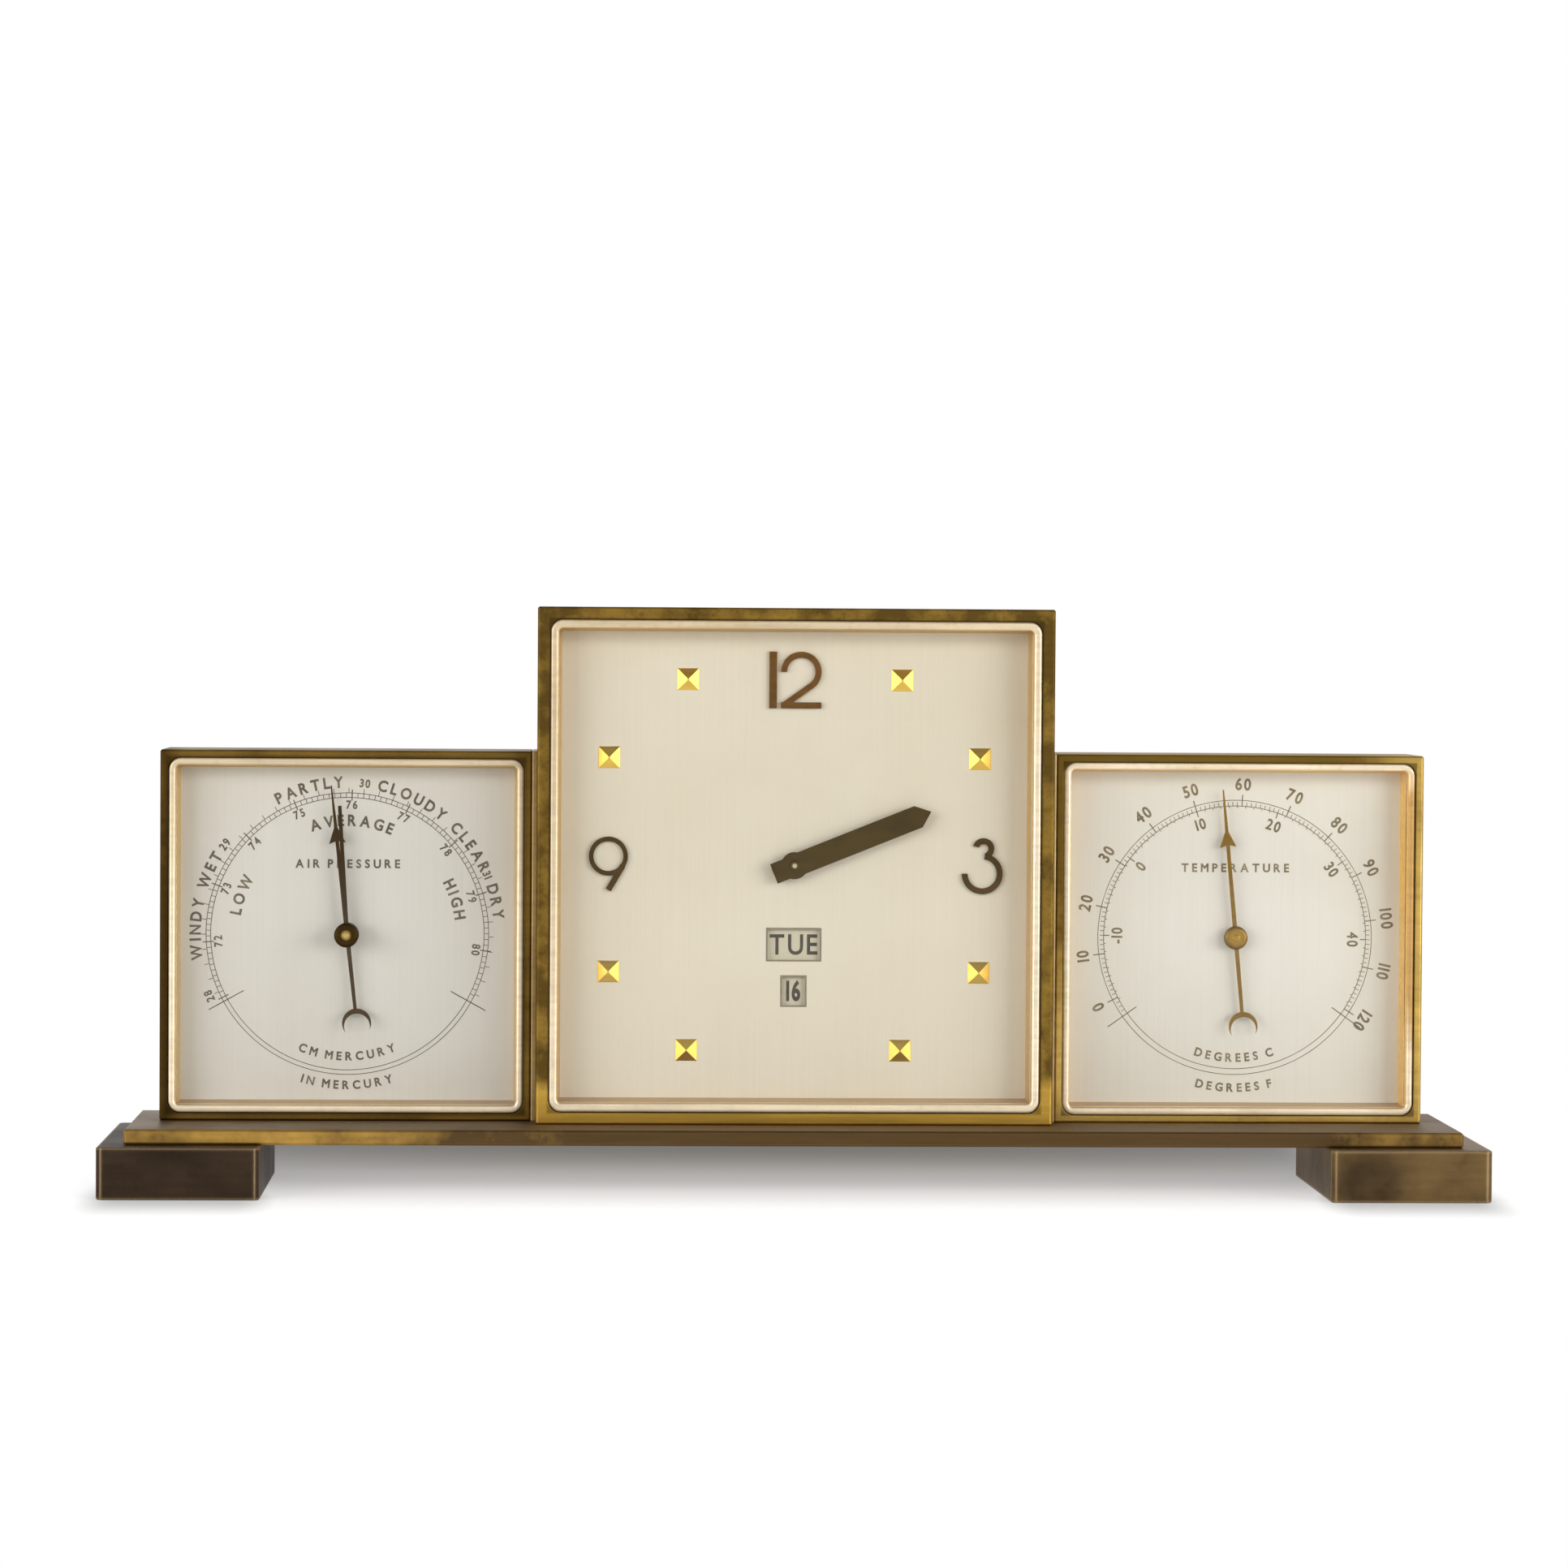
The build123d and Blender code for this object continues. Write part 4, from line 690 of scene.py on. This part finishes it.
# %% Glass
glass, tree = blank("thin_glass")
dust = effect(tree, "blotches", Scale=40.0, Low=0.45, High=0.8)["Mask"]
haze = ramp(tree, dust, (0.0, 1.0), (0.02, 0.06))
clear = add(tree, "BsdfTransparent", {"Color": (0.985, 0.985, 0.98, 1.0)})
mirror = add(tree, "BsdfGlossy", {"Color": WHITE, "Roughness": haze})
slant = add(tree, "Fresnel", {"IOR": 1.52}).outputs[0]
outside = maths(tree, "SUBTRACT", 1.0, add(tree, "NewGeometry").outputs["Backfacing"])
pane = choose(tree, maths(tree, "MULTIPLY", slant, outside), clear, mirror)
add(tree, "OutputMaterial", {"Surface": pane.outputs[0]})
dress(glass, "clock_glass", "barometer_glass", "thermometer_glass")

# %% [markdown]
# ## Ink
# Scales were printed by pad or silk screen, in a grey-brown ink that thins out in places. Each ink is a
# dark colour and a faded one, mixed by small blotches. The barometer's is greyer and the thermometer's
# browner.

# %% Inks
def ink(name, colour, faded):
    """A printing ink that is thinner in small patches."""
    made, tree = blank(name)
    thin = effect(tree, "blotches", Scale=420.0, Low=0.35, High=0.75)["Mask"]
    body = mix(tree, thin, colour, faded)
    surface = add(tree, "BsdfPrincipled", {"Base Color": body, "Roughness": 0.5})
    add(tree, "OutputMaterial", {"Surface": surface.outputs[0]})
    print("Ink:", name)
    return made


scale_ink = ink("scale_ink", rgb(84, 75, 58), rgb(118, 107, 86))
brown_ink = ink("brown_ink", rgb(112, 98, 70), rgb(146, 131, 100))
dark_ink = ink("dark_ink", rgb(52, 44, 29), rgb(76, 67, 48))
# This last ink paints the shade along the edges of the calendar windows.
window_shade_ink = ink("window_painted_shade", rgb(126, 117, 95), rgb(140, 131, 108))

# %% [markdown]
# ## Lines of print
# A printed line could be drawn in a material, but thin lines there look ragged close up and depend on
# the render's size. Here print is thin raised ink on the dial's face. All of it is laid out flat in one
# mesh, in millimetres from the dial's centre. A strip is a unit square from the grid operator, and one
# matrix gives it size, turn and place. A ring is one short edge, spun all the way round and merged
# where it meets itself.

# %% Strips and rings
RING_STEPS = 240
FACING_FRONT = Matrix.Rotation(radians(90), 4, "X")


def at(radius, angle):
    """A point on a circle; the angle runs clockwise from the top, in degrees."""
    return (radius * sin(radians(angle)), radius * cos(radians(angle)))


def laid(centre, width, height, turn=0.0):
    """The matrix that sizes a flat unit shape, stands it up, turns it clockwise and moves it."""
    move = Matrix.Translation((centre[0] * mm, 0.0, centre[1] * mm))
    size = Matrix.Diagonal((width * mm, height * mm, 1.0, 1.0))
    return move @ Matrix.Rotation(radians(turn), 4, "Y") @ FACING_FRONT @ size


def strip(print_mesh, centre, width, height, turn=0.0):
    """A flat strip about a point."""
    bmesh.ops.create_grid(print_mesh, x_segments=1, y_segments=1, size=0.5,
                          matrix=laid(centre, width, height, turn))


def tick(print_mesh, inner, outer, angle, width):
    """A strip that points at the dial's centre."""
    strip(print_mesh, at((inner + outer) / 2, angle), width, outer - inner, angle)


def ring(print_mesh, inner, outer):
    """A band between two radii."""
    ends = [print_mesh.verts.new((0.0, 0.0, radius * mm)) for radius in (inner, outer)]
    edge = print_mesh.edges.new(ends)
    bmesh.ops.spin(print_mesh, geom=ends + [edge], cent=(0.0, 0.0, 0.0), axis=(0.0, 1.0, 0.0), angle=tau,
                   steps=RING_STEPS, use_merge=True)


print("A tick at 90 degrees and radius 10 is centred on", [round(number, 3) for number in at(10, 90)])

# %% [markdown]
# ## Bolder letters
# Blender's own font is lighter than the print on such dials. Another font would have to be read from a
# file. Instead a letter's outline is pushed outwards, so that its strokes grow: every corner moves
# along the sum of its two edges' outward directions, with a limit where the corner is very sharp.

# %% Bolder letters
SHARPEST = 0.6


def bolder(shape, amount):
    """Moves a flat letter's outline outwards, so that its strokes grow."""
    push = {}
    for edge in shape.edges:
        if edge.is_boundary:
            along = (edge.verts[1].co - edge.verts[0].co).normalized()
            outward = Vector((along.y, -along.x, 0.0))
            if outward.dot(edge.link_faces[0].calc_center_median() - edge.verts[0].co) > 0:
                outward.negate()
            for vert in edge.verts:
                push.setdefault(vert, []).append(outward)
    for vert, sides in push.items():
        vert.co += sum(sides, Vector()) / max(1.0 + sides[0].dot(sides[-1]), SHARPEST) * amount


print("A corner moves at most", round((2 / SHARPEST) ** 0.5, 2), "times the amount")

# %% [markdown]
# ## Letters
# The font gives each letter as a curve. A whole word could be one text object, but letters on a scale
# follow a circle, so each one is placed alone. A letter becomes a flat mesh once, with its left edge at
# 0 and its capitals 1 high, and is used again wherever it is needed.

# %% Letters
CAPITAL = 0.69
glyphs = {}


def glyph(letter, bold):
    """A letter as a flat mesh, and its width."""
    if (letter, bold) not in glyphs:
        curve = bpy.data.curves.new("glyph", "FONT")
        curve.body = letter
        curve.resolution_u = 4
        item = bpy.data.objects.new("glyph", curve)
        scene.collection.objects.link(item)
        mesh = bpy.data.meshes.new_from_object(item)
        bpy.data.objects.remove(item)
        bpy.data.curves.remove(curve)
        shape = bmesh.new()
        shape.from_mesh(mesh)
        bmesh.ops.remove_doubles(shape, verts=shape.verts, dist=0.0005)
        bolder(shape, bold)
        left = min(vert.co.x for vert in shape.verts)
        right = max(vert.co.x for vert in shape.verts)
        bmesh.ops.translate(shape, vec=(-left, 0.0, 0.0), verts=shape.verts)
        bmesh.ops.scale(shape, vec=(1 / CAPITAL, 1 / CAPITAL, 1.0), verts=shape.verts)
        shape.to_mesh(mesh)
        shape.free()
        glyphs[letter, bold] = (mesh, (right - left) / CAPITAL)
    return glyphs[letter, bold]


print("A capital O is", round(glyph("O", 0.034)[1], 2), "times as wide as high")

# %% [markdown]
# ## Words
# Each kind of lettering has a style: its height in millimetres, how narrow it is, the gap between
# letters and how bold it is. A word is spaced first, about 0, from the widths of its letters. The text
# object's own spacing would do for a straight line, but not for a circle, where every letter needs its
# own place and turn.

# %% Words
SPACE = 0.55
Style = namedtuple("Style", "height narrow gap bold")


def spaced(text, style):
    """The middle of each letter of a row that is centred on 0, in millimetres."""
    row = []
    left = 0.0
    for letter in text:
        if letter == " ":
            left += SPACE * style.height * style.narrow
            continue
        width = glyph(letter, style.bold)[1] * style.height * style.narrow
        row.append((left + width / 2, letter))
        left += width + style.gap * style.height
    half = (left - style.gap * style.height) / 2
    return [(place - half, letter) for place, letter in row]


def put(print_mesh, letter, centre, style, turn):
    """One letter centred on a point, turned clockwise."""
    mesh, width = glyph(letter, style.bold)
    before = len(print_mesh.verts)
    print_mesh.from_mesh(mesh)
    print_mesh.verts.ensure_lookup_table()
    about_centre = Matrix.Translation((-width / 2, -0.5, 0.0))
    place = laid(centre, style.height * style.narrow, style.height, turn) @ about_centre
    bmesh.ops.transform(print_mesh, matrix=place, verts=print_mesh.verts[before:])


print("Space between words:", SPACE, "of a letter's height")

# %% [markdown]
# ## Lines and arcs of letters
# A spaced word goes along a straight line or round a circle. On a circle a length becomes an angle by
# dividing it by the radius. Along the bottom of a dial the letters stand the other way up and run the
# other way round, as printers do, so that they can be read without turning the head.

# %% Lines and arcs
BOTTOM = 180.0


def line(print_mesh, text, centre, style, turn=0.0):
    """A straight line of letters about a point."""
    for place, letter in spaced(text, style):
        x, z = at(place, turn + 90.0)
        put(print_mesh, letter, (centre[0] + x, centre[1] + z), style, turn)


def arc(print_mesh, text, radius, angle, style):
    """Letters round the top of a circle, or along its bottom."""
    for place, letter in spaced(text, style):
        step = degrees(place / radius)
        turn = angle - step if angle == BOTTOM else angle + step
        put(print_mesh, letter, at(radius, turn), style, turn - BOTTOM if angle == BOTTOM else turn)


print("A letter 1 mm along a circle of 30 mm turns by", round(degrees(1 / 30), 2), "degrees")

# %% [markdown]
# ## Laying the print on a dial
# When all strips and letters are in place, the flat mesh is extruded by the thickness of a coat of ink
# and moved to the front face of its dial. It then rides on the body that carries the dial, so it turns
# with a disc.

# %% Laying print
INK_THICKNESS = 0.02 * mm


def lay(print_mesh, name, node, body, material):
    """Thickens print on a node's front face and makes it a piece that rides on a body."""
    x, z = middle(node)
    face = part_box(node)[0].y
    thick = bmesh.ops.extrude_face_region(print_mesh, geom=print_mesh.faces[:])["geom"]
    raised = [item for item in thick if isinstance(item, bmesh.types.BMVert)]
    bmesh.ops.translate(print_mesh, vec=(0.0, -INK_THICKNESS, 0.0), verts=raised)
    bmesh.ops.translate(print_mesh, vec=(x, face, z), verts=print_mesh.verts)
    bmesh.ops.recalc_face_normals(print_mesh, faces=print_mesh.faces)
    mesh = bpy.data.meshes.new(name)
    print_mesh.to_mesh(mesh)
    print_mesh.free()
    mesh.materials.append(material)
    piece = bpy.data.objects.new(name, mesh)
    scene.collection.objects.link(piece)
    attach(piece, body)
    print(name, len(mesh.polygons), "faces")


print("Ink thickness:", INK_THICKNESS / mm, "mm")

# %% [markdown]
# ## Barometer scale
# Two fine rings carry the ticks: centimetres of mercury inside, inches outside, each with its own angle
# to a unit. The scale leaves a gap at the bottom, between two long lines. Ticks could be copied one by
# one from a drawing. The needle turns evenly with pressure, so a loop and one angle to a unit place them
# all, and the two scales agree.

# %% Barometer rings and ticks
LONG_WIDTH = 0.22
SHORT_WIDTH = 0.14
CM_TOP = 76
CM_TOP_ANGLE = 1.7
CM_DEGREES = 23.8
INCH_TOP = 30
INCH_TOP_ANGLE = 6.4
INCH_DEGREES = 60.5
SCALE_REACH = 118
barometer = bmesh.new()
ring(barometer, 27.85, 28.0)
ring(barometer, 26.95, 27.1)
for side in (-1, 1):
    tick(barometer, 23.4, 31.3, side * 119.0, LONG_WIDTH)
for tenth in range(-50, 50):
    angle = CM_TOP_ANGLE + CM_DEGREES * tenth / 10
    if abs(angle) < SCALE_REACH and tenth % 10 == 0:
        tick(barometer, 26.4, 28.6, angle, LONG_WIDTH)
    elif abs(angle) < SCALE_REACH:
        tick(barometer, 27.0, 27.95, angle, SHORT_WIDTH)
for tenth in range(-20, 19):
    angle = INCH_TOP_ANGLE + INCH_DEGREES * tenth / 10
    if abs(angle) < SCALE_REACH:
        tick(barometer, 27.95, 28.9, angle, SHORT_WIDTH)
print("Barometer rings and ticks:", len(barometer.faces), "faces")

# %% [markdown]
# ## Barometer numbers and words
# The numbers stand square to the scale, so each is turned by its own angle. The weather words run round
# the outside and the pressure words inside. They are generic words, in wide capitals with open spacing.

# %% Barometer numbers and words
small = Style(height=1.55, narrow=0.85, gap=0.20, bold=0.034)
words = Style(height=2.1, narrow=0.9, gap=0.36, bold=0.034)
title = Style(height=1.6, narrow=0.95, gap=0.45, bold=0.034)
for number in range(72, 81):
    angle = CM_TOP_ANGLE + CM_DEGREES * (number - CM_TOP)
    line(barometer, str(number), at(25.6, angle), small, angle)
for number in range(28, 32):
    angle = INCH_TOP_ANGLE + INCH_DEGREES * (number - INCH_TOP)
    line(barometer, str(number), at(30.0, angle), small, angle)
for text, angle in (("WINDY", -88.5), ("WET", -65.5), ("PARTLY", -15.0), ("CLOUDY", 25.5),
                    ("CLEAR", 54.5), ("DRY", 77.5)):
    arc(barometer, text, 30.1, angle, words)
for text, angle in (("LOW", -70.0), ("AVERAGE", 2.0), ("HIGH", 72.0)):
    arc(barometer, text, 22.5, angle, words)
line(barometer, "AIR PRESSURE", (0.0, 13.9), title)
arc(barometer, "CM MERCURY", 24.3, BOTTOM, title)
arc(barometer, "IN MERCURY", 30.0, BOTTOM, title)
lay(barometer, "barometer_print", "barometer_dial", "frame", scale_ink)

# %% [markdown]
# ## Thermometer scale
# Fahrenheit runs outside and Celsius inside, on the same circle. A bimetal coil turns evenly with
# temperature, so two degrees of turn stand for one degree Fahrenheit, and Celsius ticks are worked out
# through Fahrenheit. That way the two scales can't drift apart.

# %% Thermometer scale
TURN_PER_F = 2.0
ZERO_F_ANGLE = -117.3
outer_number = Style(height=2.25, narrow=0.85, gap=0.18, bold=0.030)
inner_number = Style(height=2.05, narrow=0.85, gap=0.18, bold=0.030)
thermometer = bmesh.new()
ring(thermometer, 27.3, 27.45)
ring(thermometer, 26.15, 26.3)
for side in (-1, 1):
    tick(thermometer, 24.0, 31.0, side * 125.4, LONG_WIDTH)
for degree in range(-3, 121):
    angle = TURN_PER_F * degree + ZERO_F_ANGLE
    if degree % 10:
        tick(thermometer, 26.2, 27.0, angle, SHORT_WIDTH)
    else:
        tick(thermometer, 26.2, 28.5, angle, LONG_WIDTH)
        line(thermometer, str(degree), at(30.6, angle), outer_number, angle)
for degree in range(-18, 49):
    angle = TURN_PER_F * (degree * 1.8 + 32) + ZERO_F_ANGLE
    if degree % 10:
        tick(thermometer, 25.8, 26.25, angle, SHORT_WIDTH)
    else:
        tick(thermometer, 25.1, 26.25, angle, LONG_WIDTH)
        line(thermometer, str(degree), at(23.6, angle), inner_number, angle)
line(thermometer, "TEMPERATURE", (0.0, 13.9), title)
arc(thermometer, "DEGREES C", 24.0, BOTTOM, title)
arc(thermometer, "DEGREES F", 30.0, BOTTOM, title)
lay(thermometer, "thermometer_print", "thermometer_dial", "frame", brown_ink)

# %% [markdown]
# ## Calendar
# Behind the dial a disc carries the seven days and a ring the thirty-one dates, and each shows one
# entry through its window. Printing only the entry that shows would leave the disc blank when it turns.
# So all of them are there, spaced evenly, and the print rides on the disc and on the ring. After the
# last word the flat letters that served as patterns are thrown away.

# %% Day names and date numbers
DAY_RADIUS = 15.7
DATE_RADIUS = 24.9
SHOWN_DATE = 16
DAYS = ("TUE", "WED", "THU", "FRI", "SAT", "SUN", "MON")
day_letters = Style(height=3.9, narrow=0.85, gap=0.19, bold=0.018)
date_digits = Style(height=3.7, narrow=0.64, gap=0.13, bold=0.038)
names = bmesh.new()
for number, day in enumerate(DAYS):
    turn = -number * 360 / len(DAYS)
    line(names, day, at(DAY_RADIUS, BOTTOM + turn), day_letters, turn)
lay(names, "day_names", "day_disc", "day_disc", dark_ink)
dates = bmesh.new()
for number in range(1, 32):
    turn = -(number - SHOWN_DATE) * 360 / 31
    line(dates, str(number), at(DATE_RADIUS, BOTTOM + turn), date_digits, turn)
lay(dates, "date_numbers", "date_ring", "date_ring", dark_ink)
print("Letters and digits drawn once each:", len(glyphs))
for mesh, width in glyphs.values():
    bpy.data.meshes.remove(mesh)

# %% [markdown]
# ## Window edges
# The shade inside each window, along its edges, is painted as a thin dark frame. The dial is too thin for
# its wall to be seen as such, so this painted shade is printed: four strips about each opening, which
# also hide how the opening was cut.

# %% Window edges
EDGE_WIDTH = 0.35
EDGE_OVERLAP = 0.2
windows = bmesh.new()
for drop, width, height in ((DAY_RADIUS, 10.7, 6.4), (DATE_RADIUS, 4.95, 6.0)):
    x = width / 2 - EDGE_OVERLAP
    z = height / 2 - EDGE_OVERLAP
    for side in (-1, 1):
        strip(windows, (side * (x + EDGE_WIDTH / 2), -drop), EDGE_WIDTH, 2 * z)
        strip(windows, (0.0, side * (z + EDGE_WIDTH / 2) - drop), 2 * (x + EDGE_WIDTH), EDGE_WIDTH)
lay(windows, "window_shade_strips", "clock_dial", "frame", window_shade_ink)
